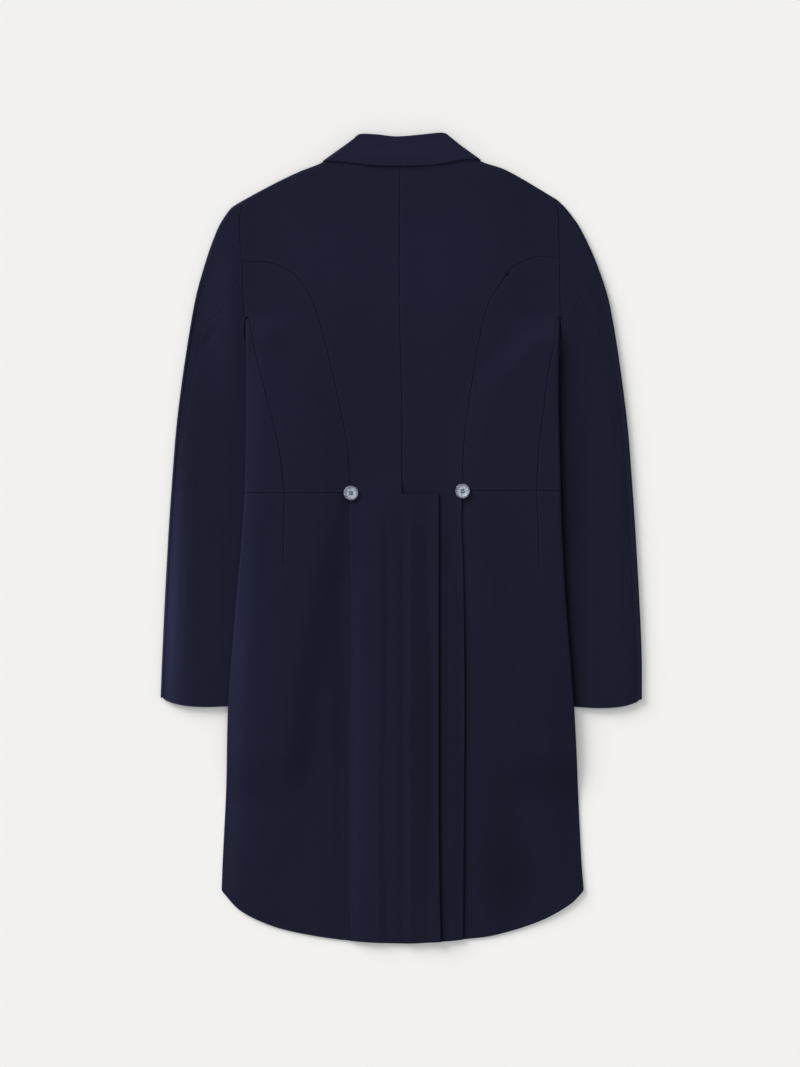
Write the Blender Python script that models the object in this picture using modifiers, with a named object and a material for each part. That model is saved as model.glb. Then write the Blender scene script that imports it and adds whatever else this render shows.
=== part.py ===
"""A morning coat laid flat with its back up: every cut piece is a thin wall of cloth in its place.

Metres, +Z up. +Y points to the collar and +X to the coat's right side as the back is seen.
The origin lies on the surface, in the middle of the coat's outline.
"""

import math

import bpy
import numpy as np
from mathutils import Vector

# Cloth and layers
CLOTH = 0.002
SEAM_GAP = 0.0003
LAYER = CLOTH + SEAM_GAP
BODY_LOFT = 0.0070
HEM_LOFT = 0.0050
SLEEVE_HEIGHT = 0.0074
SLEEVE_ROOM = 0.0079
CHEST_RISE = 0.0040
LAPEL_ROOM = 0.0024
FRONT_LAP_ROOM = 0.0030

# Levels along the coat, as measured; the outline's middle is this far below their zero
MIDDLE_Y = -0.0009
WAIST_LEFT_Y = 0.0575
WAIST_RIGHT_Y = 0.0600
JOG_Y = 0.0565
CUFF_Y = -0.2210
HEM_CORNER_Y = -0.4580

# Laps: the vent, the pleats behind the skirts and the front edges
PLEAT_DEPTH = 0.033
FRONT_LAP = 0.018
BREAK_Y = 0.078
RIGHT_BREAK = (0.003, 0.172)
CUFF_BOW = 0.0095
TURN_IN = 0.004
FORE_SHARE = 0.88

# Collar
COLLAR_FRONT_ROLL = (0.060, 0.436)
COLLAR_FRONT_EDGE = (0.106, 0.432)
LAPEL_NOTCH = (0.1070, 0.4295)
GORGE = (0.0735, 0.4400)
STAND_SHARE = 0.57

# Buttons
BUTTON_RADIUS = 0.0095
BUTTON_HEIGHT = 0.0026
BUTTON_HOLE = 0.0008
BUTTON_HOLE_APART = 0.0030
BUTTON_SEAT = 0.0006
FRONT_BUTTON_Y = 0.066
FRONT_BUTTON_ROOM = 0.0032

# Fineness of the grids; the two sleeve seams meet the armhole at these of its points
CURVE_SAMPLES = 160
FINE_SAMPLES = 200
FOLD_STEPS = 4
NECK_STEPS = 4
SHOULDER_STEPS = 5
PLEAT_STEPS = 4
CURVE_TOP = 4
CURVE_DOWN = 10
UNDERARM_STEPS = 5
TAIL_DOWN = 12
SKIRT_COLUMNS = 8
LAPEL_ROWS = 9
COLLAR_COLUMNS = 10
BUTTON_STEPS = 24
ARMHOLE_HIND = 5
ARMHOLE_FORE = 7
ARMHOLE_CURVED = 4
SLEEVE_ROWS = (0, 0.02, 0.045, 0.075, 0.11, 0.15, 0.2, 0.26, 0.34, 0.43, 0.54, 0.66, 0.78, 0.9, 1)

NAVY = (0.0115, 0.0135, 0.0330, 1.0)
BUTTON_BLUE = (0.150, 0.180, 0.260, 1.0)


def table(columns, *rows):
    """A short table whose columns are read by name."""
    return dict(zip(columns.split(), np.array(rows, float).T))


SHOULDER = table(
    "left_x left_y right_x right_y",
    (-0.0850, 0.4977, 0.0862, 0.4987),
    (-0.1036, 0.4851, 0.1046, 0.4866),
    (-0.1315, 0.4740, 0.1320, 0.4775),
    (-0.1705, 0.4555, 0.1610, 0.4622),
    (-0.2085, 0.4350, 0.2025, 0.4375),
)
ARMHOLE = table(
    "left_x left_y right_x right_y",
    (-0.2085, 0.4350, 0.2025, 0.4375),
    (-0.2095, 0.4130, 0.2040, 0.4130),
    (-0.2093, 0.3870, 0.2042, 0.3870),
    (-0.2070, 0.3670, 0.2050, 0.3690),
    (-0.2060, 0.3575, 0.2052, 0.3610),
    (-0.2055, 0.3375, 0.2053, 0.3400),
    (-0.2048, 0.3190, 0.2055, 0.3220),
    (-0.2042, 0.3020, 0.2058, 0.3040),
    (-0.2020, 0.2855, 0.2062, 0.2855),
)
SIDE_EDGE = table(
    "left_x left_y right_x right_y",
    (-0.2020, 0.2855, 0.2062, 0.2855),
    (-0.2010, 0.2500, 0.2045, 0.2500),
    (-0.2005, 0.1790, 0.2040, 0.1790),
    (-0.2025, 0.0620, 0.2065, 0.0620),
    (-0.2070, -0.0100, 0.2090, -0.0100),
    (-0.2135, -0.0810, 0.2130, -0.0810),
    (-0.2240, -0.2180, 0.2235, -0.2180),
    (-0.2265, -0.3150, 0.2285, -0.3150),
    (-0.2315, -0.4190, 0.2335, -0.4190),
    (-0.2330, -0.4580, 0.2365, -0.4580),
)
CURVED_SEAM = table(
    "left_x left_y right_x right_y",
    (-0.2060, 0.3575, 0.2052, 0.3610),
    (-0.1795, 0.3570, 0.1845, 0.3635),
    (-0.1640, 0.3540, 0.1675, 0.3610),
    (-0.1480, 0.3470, 0.1455, 0.3505),
    (-0.1350, 0.3370, 0.1375, 0.3410),
    (-0.1135, 0.3020, 0.1130, 0.3020),
    (-0.0900, 0.2180, 0.0945, 0.2180),
    (-0.0690, 0.1140, 0.0805, 0.1140),
    (-0.0655, 0.0575, 0.0800, 0.0600),
)
UNDERARM_SEAM = table(
    "left_x left_y right_x right_y",
    (-0.1972, 0.2845, 0.2010, 0.2845),
    (-0.1915, 0.2540, 0.1985, 0.2540),
    (-0.1835, 0.2180, 0.1910, 0.2180),
    (-0.1695, 0.1660, 0.1845, 0.1660),
    (-0.1575, 0.1140, 0.1780, 0.1140),
    (-0.1505, 0.0575, 0.1750, 0.0600),
)
CENTRE_SEAM = table(
    "x y",
    (-0.0015, 0.4980),
    (-0.0025, 0.3300),
    (-0.0005, 0.2250),
    (0.0010, 0.1800),
    (0.0010, 0.0565),
    (0.0010, -0.5260),
)
TAIL_EDGE = table(
    "left_x left_y right_x right_y",
    (-0.0655, 0.0575, 0.0800, 0.0600),
    (-0.0675, 0.0230, 0.0780, 0.0230),
    (-0.0655, -0.0420, 0.0805, -0.0420),
    (-0.0660, -0.2000, 0.0825, -0.2000),
    (-0.0690, -0.3150, 0.0820, -0.3150),
    (-0.0665, -0.5220, 0.0805, -0.5205),
)
VENT_EDGE = table(
    "x y",
    (0.0490, 0.0565),
    (0.0490, -0.3930),
    (0.0515, -0.5235),
)
HEM = table(
    "x y",
    (-0.2330, -0.4580),
    (-0.2095, -0.4830),
    (-0.1705, -0.5025),
    (-0.1315, -0.5130),
    (-0.0730, -0.5220),
    (-0.0015, -0.5260),
    (0.0490, -0.5238),
    (0.0805, -0.5210),
    (0.1220, -0.5155),
    (0.1805, -0.4970),
    (0.2195, -0.4750),
    (0.2365, -0.4580),
)
CUTAWAY = table(
    "half_x y",
    (-0.0180, 0.0500),
    (0.0140, 0.0300),
    (0.0400, -0.0100),
    (0.0800, -0.0900),
    (0.1250, -0.2000),
    (0.1650, -0.3050),
    (0.1980, -0.3980),
    (0.2300, -0.4540),
)
SLEEVE_OUTER = table(
    "left_x left_y right_x right_y",
    (-0.2085, 0.4350, 0.2025, 0.4375),
    (-0.2215, 0.4260, 0.2140, 0.4260),
    (-0.2380, 0.4000, 0.2325, 0.4000),
    (-0.2565, 0.3480, 0.2560, 0.3480),
    (-0.2695, 0.2960, 0.2715, 0.2960),
    (-0.2890, 0.1660, 0.2910, 0.1660),
    (-0.2980, 0.0620, 0.3000, 0.0620),
    (-0.3045, -0.0420, 0.3065, -0.0420),
    (-0.3095, -0.1460, 0.3115, -0.1460),
    (-0.3120, -0.2075, 0.3120, -0.2100),
)
SLEEVE_INNER = table(
    "left_x left_y right_x right_y",
    (-0.2020, 0.2855, 0.2062, 0.2855),
    (-0.2022, 0.2700, 0.2062, 0.2700),
    (-0.2021, 0.2545, 0.2053, 0.2545),
    (-0.1880, 0.2375, 0.1920, 0.2375),
    (-0.1530, 0.1980, 0.1560, 0.1980),
    (-0.1320, 0.1460, 0.1340, 0.1460),
    (-0.1265, 0.0880, 0.1290, 0.0880),
    (-0.1340, -0.0030, 0.1370, -0.0030),
    (-0.1530, -0.1070, 0.1560, -0.1070),
    (-0.1730, -0.2150, 0.1750, -0.2150),
)
HINDARM_SEAM = table(
    "left_x left_y right_x right_y",
    (-0.2055, 0.3375, 0.2053, 0.3400),
    (-0.2175, 0.3220, 0.2245, 0.3220),
    (-0.2265, 0.3020, 0.2365, 0.3010),
    (-0.2380, 0.2880, 0.2495, 0.2800),
    (-0.2540, 0.2760, 0.2670, 0.2410),
    (-0.2650, 0.2310, 0.2810, 0.1980),
    (-0.2740, 0.1920, 0.2845, 0.1825),
    (-0.2930, 0.0620, 0.2955, 0.0620),
    (-0.3045, -0.1460, 0.3065, -0.1460),
    (-0.3070, -0.2200, 0.3070, -0.2200),
)
LAPEL_EDGE = table(
    "left_x left_y right_x right_y",
    (-0.1380, 0.4600, 0.1380, 0.4600),
    (-0.1300, 0.3900, 0.1300, 0.4050),
    (-0.1040, 0.2900, 0.1060, 0.3250),
    (-0.0550, 0.1750, 0.0620, 0.2430),
    (0.0120, 0.0780, 0.0100, 0.1720),
)
ROLL_TOP = table(
    "x y",
    (-0.0555, 0.5215),
    (-0.0275, 0.5215),
    (0.0025, 0.5200),
    (0.0310, 0.5225),
    (0.0480, 0.5245),
    (0.0610, 0.5230),
)
LEAF_EDGE = table(
    "x y",
    (-0.1055, 0.4880),
    (-0.0745, 0.4885),
    (-0.0535, 0.4855),
    (-0.0015, 0.4830),
    (0.0505, 0.4870),
    (0.0765, 0.4910),
    (0.1065, 0.4895),
)


def ease(value, start, end):
    """From 0 at start to 1 at end, level at both."""
    share = np.clip((np.asarray(value, float) - start) / (end - start), 0, 1)
    return share * share * (3 - 2 * share)


def path(points, at):
    """Points of a smooth curve through a few points, at shares of its length."""
    points = np.asarray(points, float)
    steps = np.linalg.norm(np.diff(points, axis=0), axis=1)
    length = np.concatenate([[0], np.cumsum(steps)])
    inner = (points[2:] - points[:-2]) / (length[2:] - length[:-2])[:, None]
    first = (points[1] - points[0]) / steps[0]
    last = (points[-1] - points[-2]) / steps[-1]
    slopes = np.vstack([first, inner, last])
    wanted = np.clip(np.asarray(at, float), 0, 1) * length[-1]
    span = np.clip(np.searchsorted(length, wanted, side="right") - 1, 0, len(steps) - 1)
    share = ((wanted - length[span]) / steps[span])[..., None]
    run = steps[span][..., None]
    return (
        (2 * share**3 - 3 * share**2 + 1) * points[span]
        + (share**3 - 2 * share**2 + share) * run * slopes[span]
        + (3 * share**2 - 2 * share**3) * points[span + 1]
        + (share**3 - share**2) * run * slopes[span + 1]
    )


def points_of(rows, side=None):
    """A table's points, of one side where it has both."""
    if side is None:
        return np.column_stack([rows["x"], rows["y"]])
    return np.column_stack([rows[side + "_x"], rows[side + "_y"]])


def x_at(points, y):
    """Where a curve that runs down the coat is at a level."""
    dense = path(points, np.linspace(0, 1, CURVE_SAMPLES))
    order = np.argsort(dense[:, 1])
    return np.interp(y, dense[order, 1], dense[order, 0])


def hem_y(x):
    dense = path(points_of(HEM), np.linspace(0, 1, CURVE_SAMPLES))
    return np.interp(x, dense[:, 0], dense[:, 1])


def cut_points():
    return np.column_stack([CUTAWAY["half_x"], CUTAWAY["y"]])


def cut_x(y):
    return x_at(cut_points(), y)


def cut_y(half_x):
    dense = path(cut_points(), np.linspace(0, 1, CURVE_SAMPLES))
    return np.interp(half_x, dense[:, 0], dense[:, 1])


def waist_y(side):
    return WAIST_LEFT_Y if side == "left" else WAIST_RIGHT_Y


def sign(side):
    return -1 if side == "left" else 1


def over_sleeve(x, y):
    """1 where the body lies on a sleeve, 0 away from it."""
    down = ease(y, 0.294, 0.250) * ease(y, CUFF_Y - 0.130, CUFF_Y - 0.052)
    reach = np.abs(x_at(points_of(SLEEVE_INNER, "left"), y))
    return down * ease(np.abs(x) - reach, -0.075, -0.019)


def under_height(x, y, side):
    """The level of the front layer's outer face, which looks down."""
    on_sleeve = over_sleeve(x, y)
    lapel = LAPEL_ROOM * ease(np.abs(x), 0.185, 0.150) * ease(y, 0.056, 0.100)
    away = np.hypot(x, np.asarray(y) - FRONT_BUTTON_Y)
    button = FRONT_BUTTON_ROOM * ease(away, 0.060, 0.022)
    height = SLEEVE_ROOM * on_sleeve + (1 - on_sleeve) * np.maximum(lapel, button)
    if side == "right":
        lapped = ease(y, 0.215, 0.170) * ease(y, -0.050, 0.020)
        height = height + FRONT_LAP_ROOM * ease(x, 0.080, 0.030) * lapped
    return height


def loft(y):
    return HEM_LOFT + (BODY_LOFT - HEM_LOFT) * ease(y, -0.40, -0.15)


def top_height(x, y):
    """The level of the back layer's outer face, which looks up."""
    on_sleeve = over_sleeve(x, y)
    chest = CHEST_RISE * ease(np.abs(x), 0.190, 0.110) * ease(y, -0.060, 0.040)
    full = loft(y) + SLEEVE_ROOM * on_sleeve + (1 - on_sleeve) * chest
    inside = cut_x(np.minimum(y, 0.03)) - np.abs(x)
    bare = ease(inside, -0.004, 0.050) * ease(y, 0.0, -0.12)
    return full + (LAYER - full) * bare


def pleat_open(y):
    """0 at the waist, where the pleat is sewn, and 1 where it hangs free."""
    return ease(y, 0.055, -0.010)


def tail_rise(x, y, side):
    """How far a tail stands up over the pleat's inner fold."""
    inward = (x - x_at(points_of(TAIL_EDGE, side), y)) * -sign(side)
    return LAYER * pleat_open(y) * ease(inward, PLEAT_DEPTH + 0.016, PLEAT_DEPTH + 0.002)


def skirt_drop(x, y, side):
    """How far the skirt dips under the tail near the waist."""
    outward = (x - x_at(points_of(TAIL_EDGE, side), y)) * sign(side)
    return LAYER * (1 - pleat_open(y)) * ease(outward, 0.014, 0.001)


def back_height(x, y, side):
    height = top_height(x, y)
    if side == "right":
        return height + tail_rise(x, y, "right")
    lap = ease(x, -0.030, -0.001) * ease(y, 0.085, JOG_Y + 0.002)
    over_right = np.where(np.asarray(x) > 0.0, tail_rise(x, y, "right"), 0)
    return height + tail_rise(x, y, "left") + LAYER * lap + over_right


def skirt_height(x, y, side):
    return top_height(x, y) - skirt_drop(x, y, side)


def coons(top, bottom, first, last):
    """A plan grid between four edges, whose rows run from the first edge to the last."""
    rows, columns = len(first), len(top)
    down = np.linspace(0, 1, rows)[:, None, None]
    along = np.linspace(0, 1, columns)[None, :, None]
    ruled_rows = first[:, None] * (1 - along) + last[:, None] * along
    ruled_columns = top[None] * (1 - down) + bottom[None] * down
    corners = (
        top[0] * (1 - down) * (1 - along)
        + top[-1] * (1 - down) * along
        + bottom[0] * down * (1 - along)
        + bottom[-1] * down * along
    )
    return ruled_rows + ruled_columns - corners


def raised(plan, height, *more):
    """A plan grid lifted to a height function."""
    return np.dstack([plan, height(plan[..., 0], plan[..., 1], *more)])


def fold(base, outward, high, low, steps=FOLD_STEPS):
    """Columns round a folded edge, from its upper level to its lower one, both left out."""
    base, outward = np.asarray(base), np.asarray(outward)
    high, low = np.asarray(high), np.asarray(low)
    radius = (high - low) / 2
    columns = []
    for step in range(1, steps):
        turn = math.pi * step / steps
        plan = base + outward * (radius * math.sin(turn))[..., None]
        level = (high + low) / 2 + radius * math.cos(turn)
        columns.append(np.concatenate([plan, level[..., None]], axis=-1))
    return np.stack(columns, axis=-2)


def unit(vectors):
    vectors = np.asarray(vectors, float)
    return vectors / np.linalg.norm(vectors, axis=-1, keepdims=True)


def normals(points, turn):
    """Level unit vectors square to a curve, to its left for 1 and its right for -1."""
    along = unit(np.gradient(points, axis=0))
    return turn * np.column_stack([-along[:, 1], along[:, 0]])


def missing(rows, columns):
    return np.full((rows, columns, 3), np.nan)


def inset(grid, gap=SEAM_GAP / 2):
    """The grid with every free edge drawn in by half a seam's gap."""
    grid = grid.copy()
    for axis in (0, 1):
        along = 1 - axis
        there = ~np.isnan(grid[..., 0])
        source = grid.copy()
        for index in zip(*np.nonzero(there)):
            for step in (-1, 1):
                beyond, inner = list(index), list(index)
                beyond[axis] += step
                inner[axis] -= step
                if 0 <= beyond[axis] < grid.shape[axis] and there[tuple(beyond)]:
                    continue
                if not 0 <= inner[axis] < grid.shape[axis] or not there[tuple(inner)]:
                    continue
                inward = unit(source[tuple(inner)] - source[index])
                ends = []
                for side in (-1, 1):
                    other = list(index)
                    other[along] += side
                    if 0 <= other[along] < grid.shape[along] and there[tuple(other)]:
                        ends.append(source[tuple(other)])
                    else:
                        ends.append(source[index])
                edge = unit(ends[1] - ends[0])
                square = np.linalg.norm(inward - edge * np.dot(inward, edge))
                grid[index] = grid[index] + inward * gap / max(square, 0.35)
    return grid


def material(name, colour, roughness):
    made = bpy.data.materials.new(name)
    made.use_nodes = True
    shader = made.node_tree.nodes["Principled BSDF"]
    shader.inputs["Base Color"].default_value = colour
    shader.inputs["Roughness"].default_value = roughness
    made.diffuse_color = colour
    return made


def add(name, mesh, collection, colour, roughness):
    mesh.materials.append(material(name, colour, roughness))
    made = bpy.data.objects.new(name, mesh)
    made.location = (0, -MIDDLE_Y, 0)
    collection.objects.link(made)
    return made


def cloth_piece(name, grid, collection, first_up=True):
    """A wall of cloth: the grid is its outer face, which looks up where its last row starts."""
    grid = inset(grid)
    start = int(np.argmin(np.isnan(grid[-1, :, 0])))
    down = grid[-1, start] - grid[-2, start]
    across = grid[-1, start + 1] - grid[-1, start]
    up = (np.cross(down, across)[2] > 0) == first_up
    there = ~np.isnan(grid[..., 0])
    number = np.cumsum(there).reshape(there.shape) - 1
    faces = []
    for row in range(grid.shape[0] - 1):
        for column in range(grid.shape[1] - 1):
            corners = ((row, column), (row + 1, column), (row + 1, column + 1), (row, column + 1))
            if all(there[corner] for corner in corners):
                face = [int(number[corner]) for corner in corners]
                faces.append(face if up else face[::-1])
    mesh = bpy.data.meshes.new(name)
    mesh.from_pydata(grid[there].tolist(), [], faces)
    mesh.update()
    mesh.shade_smooth()
    made = add(name, mesh, collection, NAVY, 0.9)
    wall = made.modifiers.new("Cloth", "SOLIDIFY")
    wall.thickness = CLOTH
    wall.offset = -1
    wall.use_rim = True
    return made


def armhole(side):
    """The armhole seam, from the shoulder to the underarm, with the fold's room at its top."""
    seam = points_of(ARMHOLE, side)
    seam[0] = shoulder_base(side)[0][-1]
    return seam


def shoulder_base(side):
    """The line where the shoulder's fold starts, its outward directions and the fold's levels."""
    edge = path(points_of(SHOULDER, side), np.linspace(0, 1, SHOULDER_STEPS + 1))
    out = normals(edge, sign(side))
    out[-1] = unit(out[-1] + 0.35 * np.array([sign(side), 0]))
    high = top_height(edge[:, 0], edge[:, 1])
    low = under_height(edge[:, 0], edge[:, 1], "left")
    base = edge - out * ((high - low) / 2)[:, None]
    return base, out, high, low


def shoulder_seam(side):
    """Where the back ends, a little way in under the shoulder."""
    base, out, _, _ = shoulder_base(side)
    seam = base - out * TURN_IN
    run = armhole(side)
    seam[-1] = run[0] + unit(run[1] - run[0]) * TURN_IN
    return seam


def neck_line(side):
    """The back's neck edge, from the centre seam to the shoulder."""
    base = shoulder_base(side)[0][0]
    middle = points_of(CENTRE_SEAM)[0]
    first = middle + np.array([0.35 * (base[0] - middle[0]), 0.0002])
    second = middle + np.array([0.74 * (base[0] - middle[0]), 0.0016])
    return path([middle, first, second, base], np.linspace(0, 1, NECK_STEPS + 1))


def curved_seam(side):
    """The seam between back and side body, in its level part and its falling part."""
    seam = points_of(CURVED_SEAM, side)
    steps = np.linalg.norm(np.diff(seam, axis=0), axis=1)
    split = steps[:4].sum() / steps.sum()
    level = path(seam, np.linspace(0, split, CURVE_TOP + 1))
    falling = path(seam, np.linspace(split, 1, CURVE_DOWN + 1))
    return level, falling


def pleat_line(side, y):
    """Where the inner fold under a tail ends: on the right tail, at the vent's edge."""
    if side == "right":
        return x_at(points_of(VENT_EDGE), y)
    return x_at(points_of(TAIL_EDGE, "left"), y) + PLEAT_DEPTH


def tail_row(side, level, outer_level=None):
    """One row of a tail, from the centre to the pleat's line and on to the tail's edge."""
    outer_level = level if outer_level is None else outer_level
    centre = x_at(points_of(CENTRE_SEAM), level)
    line = pleat_line(side, level)
    edge = x_at(points_of(TAIL_EDGE, side), outer_level)
    inner = np.linspace(centre, line, NECK_STEPS + 2)
    outer = np.linspace(line, edge, PLEAT_STEPS + 1)[1:]
    levels = np.concatenate([np.full(len(inner), level), np.linspace(level, outer_level, PLEAT_STEPS + 1)[1:]])
    return np.column_stack([np.concatenate([inner, outer]), levels])


def back_upper(side):
    """The plan of a back from its neck to the waist, its rows running outwards from the centre."""
    level, falling = curved_seam(side)
    outer = np.vstack([armhole(side)[: ARMHOLE_CURVED + 1], level[1:], falling[1:]])
    top = np.vstack([neck_line(side), shoulder_base(side)[0][1:]])
    steps = np.linalg.norm(np.diff(outer, axis=0), axis=1)
    share = np.concatenate([[0], np.cumsum(steps)]) / steps.sum()
    middle_y = top[0][1] + (JOG_Y - top[0][1]) * share
    centre = np.column_stack([x_at(points_of(CENTRE_SEAM), middle_y), middle_y])
    return coons(top, tail_row(side, JOG_Y, waist_y(side)), centre, outer)


def back_lower(side):
    """The plan of a tail below the waist row, each column reaching the hem."""
    waist = tail_row(side, JOG_Y, waist_y(side))
    rows = []
    for share in np.linspace(0, 1, TAIL_DOWN + 1)[1:]:
        row = []
        for column, start in enumerate(waist):
            x = start[0]
            for _ in range(3):
                level = start[1] + (hem_y(x) - start[1]) * share
                x = tail_row(side, level)[column][0]
            row.append((x, level))
        rows.append(row)
    return np.array(rows)


def tail_grid(side):
    """The plan of a tail from the waist row down."""
    return np.concatenate([tail_row(side, JOG_Y, waist_y(side))[None], back_lower(side)])


def back(side, collection):
    plan = np.concatenate([back_upper(side), back_lower(side)])
    main = raised(plan, back_height, side)
    base, out, high, low = shoulder_base(side)
    arc = fold(base, out, high, low)
    seam = shoulder_seam(side)
    turned = np.column_stack([seam, under_height(seam[:, 0], seam[:, 1], "left")])
    rolled = [turned, np.column_stack([base, low])]
    rolled += [arc[:, step] for step in range(FOLD_STEPS - 2, -1, -1)]
    rows = [np.concatenate([missing(1, NECK_STEPS)[0], row]) for row in rolled]
    grid = np.concatenate([np.stack(rows), main])
    if side == "left":
        lap = raised(tail_grid("right")[:, 1 : NECK_STEPS + 2][:, ::-1], back_height, "right")
        lap[..., 2] += LAYER
        above = missing(grid.shape[0] - lap.shape[0], lap.shape[1])
        grid = np.concatenate([np.concatenate([above, lap]), grid], axis=1)
    return cloth_piece("back_" + side, grid, collection)


def underarm(side):
    return path(points_of(UNDERARM_SEAM, side), np.linspace(0, 1, UNDERARM_STEPS + 1))


def side_body(side, collection):
    level, inner = curved_seam(side)
    outer = np.vstack([points_of(ARMHOLE, side)[ARMHOLE_CURVED:], underarm(side)])
    bottom = np.linspace(outer[-1], inner[-1], CURVE_TOP + 1)
    plan = coons(level, bottom, outer, inner)
    return cloth_piece("side_body_" + side, raised(plan, top_height), collection)


def side_base(side, y):
    """The line where the side's fold starts, with the fold's levels."""
    edge = x_at(points_of(SIDE_EDGE, side), y)
    high = top_height(edge, y)
    low = under_height(edge, y, side)
    radius = (high - low) / 2
    return np.column_stack([edge - sign(side) * radius, y]), high, low


def roll_line(side):
    """The lapel's fold line, set in by its radius, from the collar to the break."""
    turn = sign(side)
    start = (turn * (COLLAR_FRONT_ROLL[0] - 0.002), COLLAR_FRONT_ROLL[1] - 0.0022)
    end = (FRONT_LAP, BREAK_Y) if side == "left" else RIGHT_BREAK
    line = np.array([start, end])
    line[:, 0] += turn * (LAPEL_ROOM + CLOTH) / 2
    return line


def front_line(side):
    """The forepart's inner edge: roll line, then the plain front edge to the waist."""
    line = [*(roll_line(side) + (sign(side) * TURN_IN, 0))]
    if side == "right":
        line.append((-FRONT_LAP, BREAK_Y))
    line.append((-sign(side) * FRONT_LAP, waist_y(side)))
    return np.array(line)


def along(points, count):
    """Points about evenly spaced on a run of straight lines, with one on each of its corners."""
    points = np.asarray(points, float)
    steps = np.linalg.norm(np.diff(points, axis=0), axis=1)
    length = np.concatenate([[0], np.cumsum(steps)])
    wanted = np.linspace(0, length[-1], count)
    for corner in length[1:-1]:
        wanted[np.argmin(np.abs(wanted - corner))] = corner
    return np.column_stack([np.interp(wanted, length, points[:, axis]) for axis in (0, 1)])


def forepart(side, collection):
    seam = underarm(side)
    base, high, low = side_base(side, seam[:, 1])
    shoulder = shoulder_seam(side)[::-1]
    outer = np.vstack([shoulder[:1], armhole(side)[1:-1], base])
    inner = along(front_line(side), len(outer))
    gorge = (sign(side) * GORGE[0], GORGE[1])
    neck = along([shoulder[-1], gorge, inner[0]], NECK_STEPS)[1:]
    top = np.vstack([shoulder, neck])
    bottom = np.linspace(outer[-1], inner[-1], len(top))
    front = raised(coons(top, bottom, outer, inner), under_height, side)
    strip_plan = np.stack([seam + (base - seam) * share for share in (0, 0.5, 1)], axis=1)
    strip = raised(strip_plan, top_height)
    strip[:, -1, 2] = high
    rolled = fold(base, np.tile([sign(side), 0.0], (len(base), 1)), high, low)
    side_part = np.concatenate([strip, rolled], axis=1)
    above = missing(len(outer) - len(side_part), side_part.shape[1])
    grid = np.concatenate([np.concatenate([above, side_part]), front], axis=1)
    return cloth_piece("forepart_" + side, grid, collection)


def skirt(side, collection):
    turn = sign(side)
    shares = np.linspace(0, 1, TAIL_DOWN + 1)
    tail = tail_grid(side)[:, NECK_STEPS + 1 :]
    underlay = raised(tail, back_height, side)
    underlay[..., 2] -= LAYER
    columns = [underlay[:, index] for index in range(underlay.shape[1] - 1)]
    start_y = waist_y(side)
    for share in np.linspace(0, 1, SKIRT_COLUMNS):
        column = []
        for down in shares:
            x = x_at(points_of(TAIL_EDGE, side), start_y)
            for _ in range(4):
                level = start_y + (hem_y(x) - start_y) * down
                level = max(level, HEM_CORNER_Y) if share == 1 else level
                seam = x_at(points_of(TAIL_EDGE, side), level)
                base = side_base(side, np.array([level]))[0][0, 0]
                x = seam + (base - seam) * share
            column.append((x, level, skirt_height(x, level, side)))
        columns.append(np.array(column))
    levels = columns[-1][:, 1]
    base, high, low = side_base(side, levels)
    columns[-1][:, 2] = high
    rolled = fold(base, np.tile([turn, 0.0], (len(base), 1)), high, low)
    columns += [rolled[:, step] for step in range(rolled.shape[1])]
    for share in np.linspace(0, 1, SKIRT_COLUMNS):
        column = []
        end_x = -turn * FRONT_LAP
        low_x = base[-1][0]
        for _ in range(6):
            reach = low_x + (end_x - low_x) * share
            low_y = max(float(cut_y(turn * reach)), HEM_CORNER_Y)
            low_x = side_base(side, np.array([low_y]))[0][0, 0]
        for down in shares:
            level = start_y + (low_y - start_y) * down
            edge = side_base(side, np.array([level]))[0][0, 0]
            x = edge + (end_x - edge) * share
            column.append((x, level, under_height(x, level, side)))
        columns.append(np.array(column))
    return cloth_piece("skirt_" + side, np.stack(columns, axis=1), collection)


def hindarm_share(start, end, seam):
    """How far in along a ring's upper line the hindarm seam crosses it."""
    across = end - start
    aside = across[0] * (seam[:, 1] - start[1]) - across[1] * (seam[:, 0] - start[0])
    turns = np.nonzero(np.diff(np.sign(aside)))[0]
    if not len(turns):
        return 0.0
    found = seam[turns[0]] - start
    return float(np.dot(found, across) / np.dot(across, across))


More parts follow.
